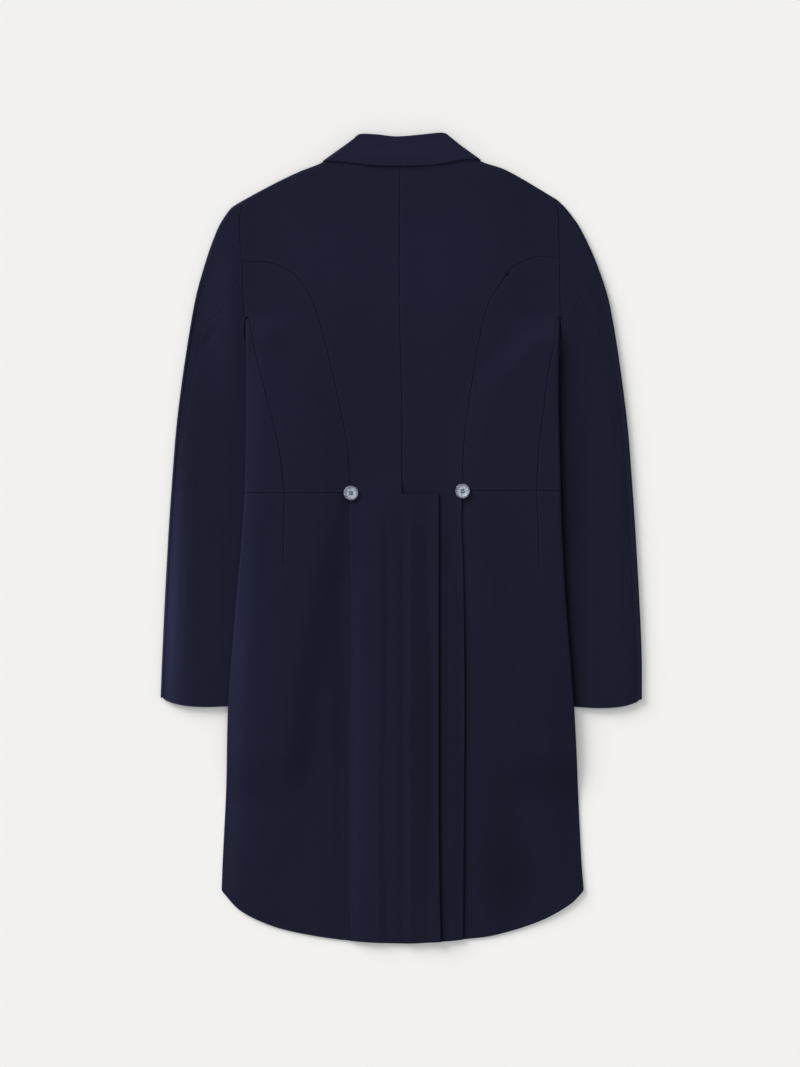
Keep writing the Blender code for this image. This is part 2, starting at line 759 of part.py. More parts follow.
def sleeve_rings(side):
    """Each ring's upper and lower points from the outer fold in, and its folds' columns."""
    turn = sign(side)
    arm = armhole(side) + (turn * 2 * SEAM_GAP, 0)
    fine = np.linspace(0, 1, FINE_SAMPLES)
    outer_path = path(points_of(SLEEVE_OUTER, side), fine)
    inner_path = path(points_of(SLEEVE_INNER, side), fine)
    outer_out = normals(outer_path, turn)
    inner_out = normals(inner_path, -turn)
    shoulder_out = shoulder_base(side)[1][-1]
    hind = path(points_of(HINDARM_SEAM, side), fine)
    steps = np.linalg.norm(np.diff(arm, axis=0), axis=1)
    first = np.concatenate([[0], np.cumsum(steps)]) / steps.sum()
    to_hind, to_fore = first[ARMHOLE_HIND], first[ARMHOLE_FORE]
    arm_high = top_height(arm[:, 0], arm[:, 1])
    arm_low = under_height(arm[:, 0], arm[:, 1], side)
    shoulder_edge = points_of(ARMHOLE, side)[0]
    rings = []
    for t in SLEEVE_ROWS:
        fall = float(ease(t, 0, 0.11))
        near = float(ease(t, 0, 0.08))
        high = SLEEVE_HEIGHT + (arm_high - SLEEVE_HEIGHT) * (1 - fall)
        low = arm_low * (1 - fall)
        at_outer = int(round(t**0.75 * (FINE_SAMPLES - 1)))
        at_inner = int(round(t**1.3 * (FINE_SAMPLES - 1)))
        outer_turn = unit(shoulder_out * (1 - near) + outer_out[at_outer] * near)
        outer_edge = outer_path[at_outer] if t else shoulder_edge
        start = outer_edge - outer_turn * (high[0] - low[0]) / 2
        bulge = near * (high[-1] - low[-1]) / 2
        end = inner_path[at_inner] - inner_out[at_inner] * bulge
        if t == 0:
            start, end = arm[0], arm[-1]
        share = float(np.clip(hindarm_share(start, end, hind), 0.03, 1)) if t else to_hind
        lower = to_fore + (FORE_SHARE - to_fore) * near
        upper_shares = np.where(
            first <= to_hind,
            share * first / to_hind,
            share + (1 - share) * (first - to_hind) / (1 - to_hind),
        )
        lower_shares = np.where(first <= to_fore, lower * first / to_fore, 1.0)
        rows = []
        for shares in (upper_shares, lower_shares):
            line = start + (end - start) * shares[:, None]
            straight = arm[0] + (arm[-1] - arm[0]) * first[:, None]
            line = line + (arm - straight) * (1 - t) ** 4
            bow = CUFF_BOW * np.sin(math.pi * shares**0.75) * float(ease(t, 0.5, 1))
            line[:, 1] -= bow
            rows.append(line)
        outer_fold = fold(start[None], outer_turn[None], high[:1], low[:1])[0]
        inner_fold = fold(end[None], inner_out[at_inner][None], high[-1:], low[-1:])[0]
        flat = inner_fold[:, :2] - end
        inner_fold[:, :2] = end + flat * near
        upper = np.column_stack([rows[0], high])
        under = np.column_stack([rows[1], low])
        rings.append((upper, outer_fold, under, inner_fold))
    return rings


def sleeve(side, collection):
    top_rows, under_rows = [], []
    for upper, outer_fold, lower, inner_fold in sleeve_rings(side):
        top_rows.append(np.vstack([upper[ARMHOLE_HIND::-1], outer_fold, lower[: ARMHOLE_FORE + 1]]))
        under_rows.append(np.vstack([upper[ARMHOLE_HIND:], inner_fold, lower[:ARMHOLE_FORE - 1:-1]]))
    cloth_piece("top_sleeve_" + side, np.stack(top_rows), collection)
    cloth_piece("under_sleeve_" + side, np.stack(under_rows), collection)


def lapel(side, collection):
    turn = sign(side)
    roll = along(roll_line(side), LAPEL_ROWS)
    outward = np.tile(unit(np.array([[-turn, 0.0]])), (len(roll), 1))
    level = under_height(roll[:, 0], roll[:, 1], side)
    arc = fold(roll, outward, level + CLOTH, level - LAPEL_ROOM)
    joined = roll + (turn * TURN_IN, 0)
    start = np.stack(
        [
            np.column_stack([joined, under_height(joined[:, 0], joined[:, 1], side) + CLOTH]),
            np.column_stack([roll, level + CLOTH]),
        ],
        axis=1,
    )
    edge = path(points_of(LAPEL_EDGE, side), np.linspace(0, 1, len(roll)))
    notch = (turn * LAPEL_NOTCH[0], LAPEL_NOTCH[1])
    top = np.vstack([np.linspace(roll[0], notch, 4), np.linspace(notch, edge[0], 3)[1:]])
    bottom = np.linspace(roll[-1], edge[-1], len(top))
    flat = raised(coons(top, bottom, roll, edge), lambda x, y: under_height(x, y, side) - LAPEL_ROOM)
    cloth_piece("lapel_" + side, np.concatenate([start, arc, flat], axis=1), collection)


def collar(collection):
    """The leaf, its roll and the stand, from one front end over the back to the other."""
    roll_radius = (LAYER + CLOTH) / 2
    deep = 2 * roll_radius
    rows = [(STAND_SHARE, 0, deep), (STAND_SHARE / 2, 0, deep), (0, 0, deep)]
    for step in range(FOLD_STEPS - 1, 0, -1):
        turn = math.pi * step / FOLD_STEPS
        rows.append((0, roll_radius * math.sin(turn), roll_radius * (1 - math.cos(turn))))
    rows += [(share, 0, 0) for share in (0, 0.33, 0.66, 1)]
    roll = points_of(ROLL_TOP)
    edge = points_of(LEAF_EDGE)
    fine = np.linspace(0, 1, FINE_SAMPLES)
    roll_fine, edge_fine = path(roll, fine), path(edge, fine)
    columns = []
    for side in ("left", "right"):
        turn = sign(side)
        end = 0 if side == "left" else -1
        corner, tip = roll[end] - (0, roll_radius), edge[end]
        level = top_height(*tip) + LAYER
        radius = level / 2
        corner, tip = corner - (turn * radius, 0), tip - (turn * radius, 0)
        front_roll = np.array([turn * COLLAR_FRONT_ROLL[0], COLLAR_FRONT_ROLL[1]])
        front_edge = np.array([turn * COLLAR_FRONT_EDGE[0], COLLAR_FRONT_EDGE[1]])
        part = []
        for share in (1, 0.66, 0.33, 0):
            column = []
            for along_leaf, beyond, inside in rows:
                taper = 1 - 0.93 * share if inside > roll_radius * 1.5 else 1
                near = corner + (tip - corner) * along_leaf
                far = front_roll + (front_edge - front_roll) * along_leaf * taper
                lean = unit(np.array([-turn * share, 1 - share]) + 1e-9)
                column.append((*(near + (far - near) * share + lean * beyond), inside))
            part.append(column)
        for step in range(FOLD_STEPS + 1, 0, -1):
            angle = math.pi * step / (FOLD_STEPS + 2)
            column = []
            for along_leaf, beyond, inside in rows:
                near = corner + (tip - corner) * along_leaf + np.array([0, beyond])
                reach = (radius - inside) * math.sin(angle)
                column.append((near[0] + turn * reach, near[1], radius + (radius - inside) * math.cos(angle)))
            part.append(column)
        columns.append((part, corner, tip))
    (left, left_corner, left_tip), (right, right_corner, right_tip) = columns
    middle = []
    for share in np.linspace(0, 1, COLLAR_COLUMNS):
        column = []
        roll_x = left_corner[0] + (right_corner[0] - left_corner[0]) * share
        edge_x = left_tip[0] + (right_tip[0] - left_tip[0]) * share
        start = np.array([roll_x, np.interp(roll_x, roll_fine[:, 0], roll_fine[:, 1]) - roll_radius])
        finish = np.array([edge_x, np.interp(edge_x, edge_fine[:, 0], edge_fine[:, 1])])
        for along_leaf, beyond, inside in rows:
            x, y = start + (finish - start) * along_leaf + np.array([0, beyond])
            column.append((x, y, top_height(x, y) + LAYER - inside))
        middle.append(column)
    grid = np.array(left + middle + right[::-1]).transpose(1, 0, 2)
    cloth_piece("collar", grid, collection, first_up=False)


def button(name, place, normal, collection):
    """A turned button with a sunk middle and four holes."""
    radius, height = BUTTON_RADIUS, BUTTON_HEIGHT
    profile = (
        (0.0, 0.62 * height),
        (0.45 * radius, 0.62 * height),
        (0.68 * radius, 0.90 * height),
        (0.86 * radius, height),
        (radius, 0.72 * height),
        (0.97 * radius, 0.30 * height),
        (0.72 * radius, 0.0),
        (0.0, 0.0),
    )
    mesh = bpy.data.meshes.new(name)
    mesh.from_pydata([(x, 0, z) for x, z in profile], [(i, i + 1) for i in range(len(profile) - 1)], [])
    made = add(name, mesh, collection, BUTTON_BLUE, 0.35)
    turned = made.modifiers.new("Turned", "SCREW")
    turned.steps = turned.render_steps = BUTTON_STEPS
    turned.use_merge_vertices = True
    turned.merge_threshold = 0.00005
    cutters = []
    for x in (-0.5, 0.5):
        for y in (-0.5, 0.5):
            bpy.ops.mesh.primitive_cylinder_add(vertices=10, radius=BUTTON_HOLE, depth=4 * height)
            cutter = bpy.context.object
            cutter.location = (x * BUTTON_HOLE_APART, y * BUTTON_HOLE_APART, height / 2)
            cutters.append(cutter)
    for number, cutter in enumerate(cutters):
        cutter.name = f"{name}_hole_{number + 1}"
        cutter.hide_render = True
        cutter.display_type = "WIRE"
        cutter.parent = made
        cut = made.modifiers.new(f"Hole {number + 1}", "BOOLEAN")
        cut.operation = "DIFFERENCE"
        cut.object = cutter
    made.location += Vector(place)
    made.rotation_euler = Vector(normal).to_track_quat("Z", "Y").to_euler()
    return made


def surface_normal(x, y):
    step = 0.004
    slope_x = (top_height(x + step, y) - top_height(x - step, y)) / (2 * step)
    slope_y = (top_height(x, y + step) - top_height(x, y - step)) / (2 * step)
    return (-float(slope_x), -float(slope_y), 1.0)


def waist_button(side, collection):
    x, y = points_of(TAIL_EDGE, side)[0]
    x = x - sign(side) * 0.0005
    lift = SEAM_GAP + BUTTON_SEAT
    place = (x, y, float(top_height(x, y)) + lift)
    button("waist_button_" + side, place, surface_normal(x, y), collection)


def main():
    for old in list(bpy.data.objects):
        bpy.data.objects.remove(old, do_unlink=True)
    coat = bpy.data.collections.new("Morning coat")
    bpy.context.scene.collection.children.link(coat)
    for side in ("left", "right"):
        back(side, coat)
        side_body(side, coat)
        forepart(side, coat)
        skirt(side, coat)
        sleeve(side, coat)
        lapel(side, coat)
        waist_button(side, coat)
    collar(coat)
    button("front_button", (0, FRONT_BUTTON_Y, BUTTON_HEIGHT + SEAM_GAP), (0, 0, -1), coat)


main()
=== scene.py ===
"""The looks of a morning coat laid flat with its back up.

Every cut piece of the coat is a thin shell of cloth on the form of its solid. The same short tables of
measured places and the same functions give the form, at a finer grain, with pressed edges, darts and
soft creases on it.

Metres, +Z up. +Y points to the collar and +X to the coat's right side as the back is seen.
"""

import math

import bpy
import numpy as np
from bpy.props import FloatProperty, FloatVectorProperty, PointerProperty
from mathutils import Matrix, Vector
from mathutils.kdtree import KDTree


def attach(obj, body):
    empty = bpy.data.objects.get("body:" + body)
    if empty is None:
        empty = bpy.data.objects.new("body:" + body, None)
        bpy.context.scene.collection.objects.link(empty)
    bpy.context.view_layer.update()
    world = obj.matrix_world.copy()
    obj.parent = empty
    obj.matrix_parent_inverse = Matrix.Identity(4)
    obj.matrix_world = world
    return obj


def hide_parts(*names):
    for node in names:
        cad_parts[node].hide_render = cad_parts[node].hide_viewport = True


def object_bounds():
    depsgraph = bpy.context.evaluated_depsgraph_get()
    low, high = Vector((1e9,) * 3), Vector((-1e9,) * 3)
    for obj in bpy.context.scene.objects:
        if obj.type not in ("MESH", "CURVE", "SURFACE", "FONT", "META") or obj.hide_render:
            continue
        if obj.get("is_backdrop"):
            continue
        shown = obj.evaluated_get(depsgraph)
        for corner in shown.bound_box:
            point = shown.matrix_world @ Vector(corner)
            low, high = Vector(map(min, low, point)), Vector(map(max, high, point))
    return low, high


bl_info = {
    "name": "Morning Coat Looks",
    "version": (1, 0, 0),
    "blender": (4, 5, 0),
    "location": "3D View > Sidebar > Coat",
    "description": "Dresses a morning coat, laid flat, in wool cloth",
    "category": "Object",
}

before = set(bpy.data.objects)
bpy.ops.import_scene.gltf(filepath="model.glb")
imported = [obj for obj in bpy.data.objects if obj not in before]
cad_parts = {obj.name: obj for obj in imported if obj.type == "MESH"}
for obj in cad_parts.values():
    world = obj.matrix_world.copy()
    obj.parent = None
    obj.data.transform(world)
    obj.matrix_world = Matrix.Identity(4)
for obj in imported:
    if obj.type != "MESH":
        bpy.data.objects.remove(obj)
CAD_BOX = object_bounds()

# Cloth and layers
CLOTH = 0.002
SEAM_GAP = 0.0003
LAYER = CLOTH + SEAM_GAP
BODY_LOFT = 0.0070
HEM_LOFT = 0.0050
SLEEVE_HEIGHT = 0.0074
SLEEVE_ROOM = 0.0079
CHEST_RISE = 0.0040
LAPEL_ROOM = 0.0024
FRONT_LAP_ROOM = 0.0030

# Levels along the coat, as measured, the first of them the middle of the outline
MIDDLE_Y = -0.0009
WAIST_LEFT_Y = 0.0575
WAIST_RIGHT_Y = 0.0600
JOG_Y = 0.0565
CUFF_Y = -0.2210
HEM_CORNER_Y = -0.4580

# Laps: seams that turn in, the pleats behind the skirts, the front edges and the vent
TURN_IN = 0.004
PLEAT_DEPTH = 0.033
PLEAT_LIFT = 0.0012
FRONT_LAP = 0.018
BREAK_Y = 0.078
RIGHT_BREAK = (0.003, 0.172)
VENT_LIFT = 0.0024
VENT_FALL = 0.7
SHORT_RISE = 0.016
LONG_RISE = 0.046

# How far the cloth sinks where no front lies below it, and towards the fold at its left side
BARE_DROP = 0.65
SIDE_DROOP = 0.0015
SIDE_ROUND = 0.024

# The painted shadow: how dark the cloth is painted beside a layer that stands up, and how far that reaches
SLEEVE_SHADE = 0.85
SLEEVE_SHADE_REACH = 0.0055
VENT_SHADE = 0.6
VENT_SHADE_REACH = 0.0016
LOW_SHADE = 0.2
LOW_SHADE_SPREAD = 0.9

# The upward part of the cloth's normal, from where its underside's plain tone starts to give way to the
# painted light and shade
UPPER_SIDE = (-0.30, 0.10)

# The darts in the skirts
DART_SHARE = 0.6
DART_END = -0.0740
DART_FADE = 0.020

# The armhole's places where the curved seam, the hindarm seam and the forearm seam start, counted from the
# shoulder, and how many of the curved seam's steps are its level part
ARMHOLE_CURVED = 4
ARMHOLE_HIND = 5
ARMHOLE_FORE = 7
CURVED_LEVEL = 4

# Sleeves: the cuff's bow, the seams' sharpness, and how the rings go from the armhole to the cuff
CUFF_BOW = 0.0095
BOW_MIDDLE = 0.62
SLEEVE_SHARP = 0.4
RING_CROWD = 1.25
OUTER_PACE = 0.75
INNER_PACE = 1.3
FORE_SHARE = 0.88
LEAST_SHARE = 0.03
HIND_FROM = 0.003

# Where one form eases into another, down the coat: each starts at its first level and is full at its second
SLEEVE_BELOW = (0.294, 0.250)
CUFF_BELOW = (CUFF_Y - 0.130, CUFF_Y - 0.052)
LAPEL_ABOVE = (0.056, 0.100)
LAP_BELOW = (0.215, 0.170)
LAP_ABOVE = (-0.050, 0.020)
SLEEVE_SHADE_BELOW = (0.265, 0.225)
LOW_SHADE_BELOW = (0.0, -0.35)
VENT_SHADE_BELOW = (0.060, 0.050)
PLEAT_SHADE_BELOW = (-0.01, -0.15)
DROOP_BELOW = (0.280, 0.220)
SLEEVE_DROOP_BELOW = (0.380, 0.280)
CHEST_ABOVE = (-0.060, 0.040)
LOFT_ABOVE = (-0.40, -0.15)
BARE_BELOW = (0.0, -0.12)
PLEAT_BELOW = (0.055, -0.010)
LIFT_BELOW = (-0.01, -0.08)
JOG_BELOW = (0.085, JOG_Y + 0.002)
VENT_BELOW = (0.050, 0.010)
RELIEF_ABOVE = (-0.225, -0.205)

# The same across the coat, from the place that each use counts from
SLEEVE_ACROSS = (-0.075, -0.019)
LAPEL_ACROSS_AT = (0.185, 0.150)
BUTTON_AROUND = (0.060, 0.022)
LAP_ACROSS = (0.080, 0.030)
CHEST_ACROSS = (0.190, 0.110)
BARE_ACROSS = (-0.004, 0.090)
SKIRT_TUCK = (0.014, 0.001)
LIFT_START = (0, 0.014)
LIFT_END = (0.075, 0.020)
CENTRE_LAP = (-0.060, -0.001)
VENT_START = (0.001, 0.013)
VENT_END = (0.008, 0.048)
RELIEF_ACROSS = (-0.002, 0.012)

# The same along a line, in shares of its length
SHOULDER_END = (0.8, 1.0)
ARM_FALL = (0, 0.11)
ARM_ROUND = (0, 0.08)
BOW_ALONG = (0.5, 1)
RIM_ALONG = (0.66, 0.84)

# Collar
COLLAR_FRONT_ROLL = (0.060, 0.436)
COLLAR_FRONT_EDGE = (0.106, 0.432)
LAPEL_NOTCH = (0.1070, 0.4295)
GORGE = (0.0735, 0.4400)
STAND_SHARE = 0.57
STAND_TAPER = 0.93
LAPEL_INWARD = 0.002
LAPEL_DOWN = 0.0022

# The shoulder's lean outwards at its end, and the neck's places: a share of its width, and a rise
SHOULDER_LEAN = 0.35
NECK_PLACES = ((0.35, 0.0002), (0.74, 0.0016))

# Buttons
BUTTON_SEAT = 0.0006
BUTTON_INWARD = 0.0005
BUTTON_WELL = 0.60
STITCH_RISE = 0.0009
STRANDS = 4
FRONT_BUTTON_Y = 0.066
FRONT_BUTTON_ROOM = 0.0032

# Fineness of the grids: each count is so many steps between two measured places
FINE = 6
FOLD_STEPS = 10
SLEEVE_RINGS = 176
SLEEVE_ROUND = 100
NECK_STEPS = 22
PLEAT_STEPS = 21
SHOULDER_STEPS = PLEAT_STEPS + 1
CURVE_TOP = 40
CURVE_DOWN = 150
TAIL_DOWN = 190
UNDERARM_STEPS = 100
SKIRT_ACROSS = 56
LAPEL_STEPS = 90
LAPEL_ACROSS = 8
COLLAR_STEPS = 90
CURVE_SAMPLES = 160
SLEEVE_SAMPLES = 400

# How pieces are finished: rows added along an edge, how far the pressed shine and the painted seam shade
# reach, how threads run, sharp folds
EDGE_STEPS = (0.0003, 0.0007, 0.0012, 0.0020)
DART_STEPS = (0.0025, 0.0050, 0.0080, 0.0120)
PRESSED_REACH = 0.004
LEAST_SQUARE = 0.35
MOST_ROOM = 0.4
WEFT_STRETCH = (60.0, 900.0, 1.0)
WARP_STRETCH = (900.0, 40.0, 1.0)
SLEEVE_GRAIN = math.radians(8)
FOLD_SHARP = math.radians(50)
BUTTON_SHARP = math.radians(40)

# The photo's frame, and the pixel that the measured places are counted from
PHOTO_WIDE = 800
PHOTO_HIGH = 1067
PHOTO_MIDDLE = (401.25, 537.5)
PLANE_LEVEL = 0.010
SENSOR_MM = 36.0

# Floor and lights
FLOOR_HALF = 4
KEY_PLACE = (-5.0, 5.0, 2.9)
FILL_PLACE = (0.0, 0.0, 4.2)
FILL_SIZE = 4.0

SIDES = ("left", "right")


def table(columns, *rows):
    """A short table whose columns are read by name."""
    return dict(zip(columns.split(), np.array(rows, float).T))


def one_line(*rows):
    """Measured places on one line."""
    return table("x y", *rows)


def both_sides(*rows):
    """Measured places on a line of the left side and on its fellow on the right."""
    return table("left_x left_y right_x right_y", *rows)


def soft_rows(*rows):
    """Soft bands that each run between two places, with a half width and an amount."""
    return table("start_x start_y end_x end_y half_width amount", *rows)


# A soft band's strength follows a sine: where on its half turn it starts, and how much of it it takes
SOFT_START = 0.12
SOFT_RUN = 0.76

# Soft ridges and troughs, whose amount is a height
BODY_CREASES = soft_rows(
    (-0.2260, -0.0500, -0.2290, -0.4300, 0.020, -0.0022),
    (-0.2030, 0.2400, -0.2060, 0.0300, 0.012, -0.0016),
    (0.1500, 0.0200, 0.1600, -0.4200, 0.030, 0.0008),
    (0.2300, -0.0300, 0.2360, -0.4300, 0.030, -0.0026),
    (0.0550, 0.4300, 0.0700, 0.1500, 0.035, 0.0014),
    (-0.0700, 0.4400, -0.0800, 0.2500, 0.035, 0.0012),
)
SLEEVE_CREASES = {
    "left": soft_rows(
        (-0.2750, 0.1000, -0.2900, -0.1800, 0.016, 0.0010),
        (-0.2600, 0.2400, -0.2400, 0.2700, 0.006, -0.0010),
        (-0.2350, 0.0200, -0.2150, -0.0300, 0.008, -0.0010),
        (-0.2150, 0.4150, -0.2100, 0.2950, 0.007, -0.0012),
    ),
    "right": soft_rows(
        (0.2750, 0.1000, 0.2850, -0.1800, 0.016, 0.0010),
        (0.2500, 0.2500, 0.2680, 0.2200, 0.006, -0.0010),
        (0.2350, 0.0300, 0.2200, -0.0200, 0.008, -0.0010),
        (0.2110, 0.4150, 0.2120, 0.2950, 0.007, -0.0010),
    ),
}

# Seams, folds and edges
SHOULDER = both_sides(
    (-0.0850, 0.4977, 0.0862, 0.4987),
    (-0.1036, 0.4851, 0.1046, 0.4866),
    (-0.1315, 0.4740, 0.1320, 0.4775),
    (-0.1705, 0.4555, 0.1610, 0.4622),
    (-0.2085, 0.4350, 0.2025, 0.4375),
)
ARMHOLE = both_sides(
    (-0.2085, 0.4350, 0.2025, 0.4375),
    (-0.2095, 0.4130, 0.2040, 0.4130),
    (-0.2093, 0.3870, 0.2042, 0.3870),
    (-0.2070, 0.3670, 0.2050, 0.3690),
    (-0.2060, 0.3575, 0.2052, 0.3610),
    (-0.2055, 0.3375, 0.2053, 0.3400),
    (-0.2048, 0.3190, 0.2055, 0.3220),
    (-0.2042, 0.3020, 0.2058, 0.3040),
    (-0.2020, 0.2855, 0.2062, 0.2855),
)
SIDE_EDGE = both_sides(
    (-0.2020, 0.2855, 0.2062, 0.2855),
    (-0.2010, 0.2500, 0.2045, 0.2500),
    (-0.2005, 0.1790, 0.2040, 0.1790),
    (-0.2025, 0.0620, 0.2065, 0.0620),
    (-0.2070, -0.0100, 0.2090, -0.0100),
    (-0.2135, -0.0810, 0.2130, -0.0810),
    (-0.2240, -0.2180, 0.2235, -0.2180),
    (-0.2265, -0.3150, 0.2285, -0.3150),
    (-0.2315, -0.4190, 0.2335, -0.4190),
    (-0.2330, -0.4580, 0.2365, -0.4580),
)
CURVED_SEAM = both_sides(
    (-0.2060, 0.3575, 0.2052, 0.3610),
    (-0.1795, 0.3570, 0.1845, 0.3635),
    (-0.1640, 0.3540, 0.1675, 0.3610),
    (-0.1480, 0.3470, 0.1455, 0.3505),
    (-0.1350, 0.3370, 0.1375, 0.3410),
    (-0.1135, 0.3020, 0.1130, 0.3020),
    (-0.0900, 0.2180, 0.0945, 0.2180),
    (-0.0690, 0.1140, 0.0805, 0.1140),
    (-0.0655, 0.0575, 0.0800, 0.0600),
)
UNDERARM_SEAM = both_sides(
    (-0.1972, 0.2845, 0.2010, 0.2845),
    (-0.1915, 0.2540, 0.1985, 0.2540),
    (-0.1835, 0.2180, 0.1910, 0.2180),
    (-0.1695, 0.1660, 0.1845, 0.1660),
    (-0.1575, 0.1140, 0.1780, 0.1140),
    (-0.1505, 0.0575, 0.1750, 0.0600),
)
CENTRE_SEAM = one_line(
    (-0.0015, 0.4980),
    (-0.0025, 0.3300),
    (-0.0005, 0.2250),
    (0.0010, 0.1800),
    (0.0010, 0.0565),
    (0.0010, -0.5260),
)
TAIL_EDGE = both_sides(
    (-0.0655, 0.0575, 0.0800, 0.0600),
    (-0.0675, 0.0230, 0.0780, 0.0230),
    (-0.0655, -0.0420, 0.0805, -0.0420),
    (-0.0660, -0.2000, 0.0825, -0.2000),
    (-0.0690, -0.3150, 0.0820, -0.3150),
    (-0.0665, -0.5220, 0.0805, -0.5205),
)
VENT_EDGE = one_line(
    (0.0490, 0.0565),
    (0.0490, -0.3930),
    (0.0515, -0.5235),
)
HEM = one_line(
    (-0.2330, -0.4580),
    (-0.2095, -0.4830),
    (-0.1705, -0.5025),
    (-0.1315, -0.5130),
    (-0.0730, -0.5220),
    (-0.0015, -0.5260),
    (0.0490, -0.5238),
    (0.0805, -0.5210),
    (0.1220, -0.5155),
    (0.1805, -0.4970),
    (0.2195, -0.4750),
    (0.2365, -0.4580),
)
# The cut away front, whose x is the distance from the centre on either side
CUTAWAY = one_line(
    (-0.0180, 0.0500),
    (0.0140, 0.0300),
    (0.0400, -0.0100),
    (0.0800, -0.0900),
    (0.1250, -0.2000),
    (0.1650, -0.3050),
    (0.1980, -0.3980),
    (0.2300, -0.4540),
)
DART = both_sides(
    (-0.1505, 0.0575, 0.1750, 0.0600),
    (-0.1520, -0.0060, 0.1778, -0.0060),
    (-0.1524, -0.0740, 0.1780, -0.0740),
)
SLEEVE_OUTER = both_sides(
    (-0.2085, 0.4350, 0.2025, 0.4375),
    (-0.2215, 0.4260, 0.2140, 0.4260),
    (-0.2380, 0.4000, 0.2325, 0.4000),
    (-0.2565, 0.3480, 0.2560, 0.3480),
    (-0.2695, 0.2960, 0.2715, 0.2960),
    (-0.2890, 0.1660, 0.2910, 0.1660),
    (-0.2980, 0.0620, 0.3000, 0.0620),
    (-0.3045, -0.0420, 0.3065, -0.0420),
    (-0.3095, -0.1460, 0.3115, -0.1460),
    (-0.3120, -0.2075, 0.3120, -0.2100),
)
SLEEVE_INNER = both_sides(
    (-0.2020, 0.2855, 0.2062, 0.2855),
    (-0.2014, 0.2700, 0.2052, 0.2700),
    (-0.1995, 0.2545, 0.2030, 0.2545),
    (-0.1880, 0.2375, 0.1920, 0.2375),
    (-0.1530, 0.1980, 0.1560, 0.1980),
    (-0.1320, 0.1460, 0.1340, 0.1460),
    (-0.1265, 0.0880, 0.1290, 0.0880),
    (-0.1340, -0.0030, 0.1370, -0.0030),
    (-0.1530, -0.1070, 0.1560, -0.1070),
    (-0.1730, -0.2150, 0.1750, -0.2150),
)
HINDARM_SEAM = both_sides(
    (-0.2055, 0.3375, 0.2053, 0.3400),
    (-0.2175, 0.3220, 0.2245, 0.3220),
    (-0.2265, 0.3020, 0.2365, 0.3010),
    (-0.2380, 0.2880, 0.2495, 0.2800),
    (-0.2540, 0.2760, 0.2670, 0.2410),
    (-0.2650, 0.2310, 0.2810, 0.1980),
    (-0.2740, 0.1920, 0.2845, 0.1825),
    (-0.2930, 0.0620, 0.2955, 0.0620),
    (-0.3045, -0.1460, 0.3065, -0.1460),
    (-0.3070, -0.2200, 0.3070, -0.2200),
)

# Painted light and shade in soft bands, whose amount is a share of the cloth's own tone
BODY_PAINTED_LIGHT_AND_SHADE = soft_rows(
    (-0.2035, 0.2300, -0.2270, -0.4500, 0.016, 0.45),
    (-0.1900, 0.0400, -0.2150, -0.4600, 0.040, 0.12),
    (-0.1100, 0.5020, 0.1100, 0.5020, 0.022, 0.30),
    (0.1150, 0.0300, 0.1350, -0.5200, 0.036, -0.20),
    (0.2000, -0.1000, 0.2200, -0.4800, 0.030, -0.12),
    (0.0220, 0.0600, 0.0180, -0.5500, 0.020, -0.15),
    (0.0640, 0.0600, 0.0650, -0.5500, 0.010, -0.12),
    (-0.0540, 0.0600, -0.0560, -0.5500, 0.014, 0.20),
    (-0.0820, 0.0600, -0.0830, -0.5500, 0.014, -0.14),
    (0.0300, 0.4200, 0.1200, 0.3000, 0.090, 0.10),
    (-0.0300, 0.4200, -0.1200, 0.3000, 0.090, 0.08),
    (-0.1650, 0.2500, -0.1700, 0.0900, 0.040, 0.10),
    (-0.0275, 0.0600, -0.0275, -0.5500, 0.007, 0.10),
    (0.0040, 0.0200, 0.0040, -0.5500, 0.012, -0.07),
    (0.0360, -0.0600, 0.0380, -0.5500, 0.007, -0.24),
    (0.0900, -0.4600, 0.1900, -0.4300, 0.060, -0.14),
)
SLEEVE_PAINTED_LIGHT_AND_SHADE = soft_rows(
    (-0.2990, 0.0400, -0.3030, -0.2600, 0.022, 0.85),
    (-0.2850, 0.2400, -0.3060, -0.2400, 0.010, 0.45),
    (-0.2280, 0.4000, -0.2400, 0.2000, 0.020, 0.30),
    (-0.2110, 0.3700, -0.2090, 0.1800, 0.008, -0.18),
    (-0.2100, 0.1800, -0.2330, -0.2300, 0.012, -0.12),
    (0.2250, 0.3200, 0.2350, -0.2200, 0.014, -0.15),
)

# The edges of the lapels and the collar
LAPEL_EDGE = both_sides(
    (-0.1380, 0.4600, 0.1380, 0.4600),
    (-0.1300, 0.3900, 0.1300, 0.4050),
    (-0.1040, 0.2900, 0.1060, 0.3250),
    (-0.0550, 0.1750, 0.0620, 0.2430),
    (0.0120, 0.0780, 0.0100, 0.1720),
)
ROLL_TOP = one_line(
    (-0.0610, 0.5185),
    (-0.0560, 0.5212),
    (-0.0500, 0.5222),
    (-0.0305, 0.5213),
    (-0.0075, 0.5188),
    (0.0188, 0.5205),
    (0.0434, 0.5231),
    (0.0532, 0.5236),
    (0.0600, 0.5216),
    (0.0650, 0.5183),
)
LEAF_EDGE = one_line(
    (-0.1022, 0.4872),
    (-0.0745, 0.4850),
    (-0.0535, 0.4828),
    (-0.0305, 0.4804),
    (-0.0010, 0.4798),
    (0.0434, 0.4816),
    (0.0680, 0.4860),
    (0.0860, 0.4885),
    (0.1035, 0.4888),
)

# A button's section from its middle to its edge and back below, in shares of its radius and height
BUTTON_PROFILE = table(
    "out up",
    (0.0, 0.60),
    (0.42, 0.60),
    (0.56, 0.63),
    (0.66, 0.74),
    (0.74, 0.90),
    (0.82, 0.985),
    (0.89, 1.0),
    (0.955, 0.93),
    (0.99, 0.79),
    (1.0, 0.62),
    (0.985, 0.42),
    (0.93, 0.22),
    (0.80, 0.06),
    (0.66, 0.0),
    (0.0, 0.0),
)


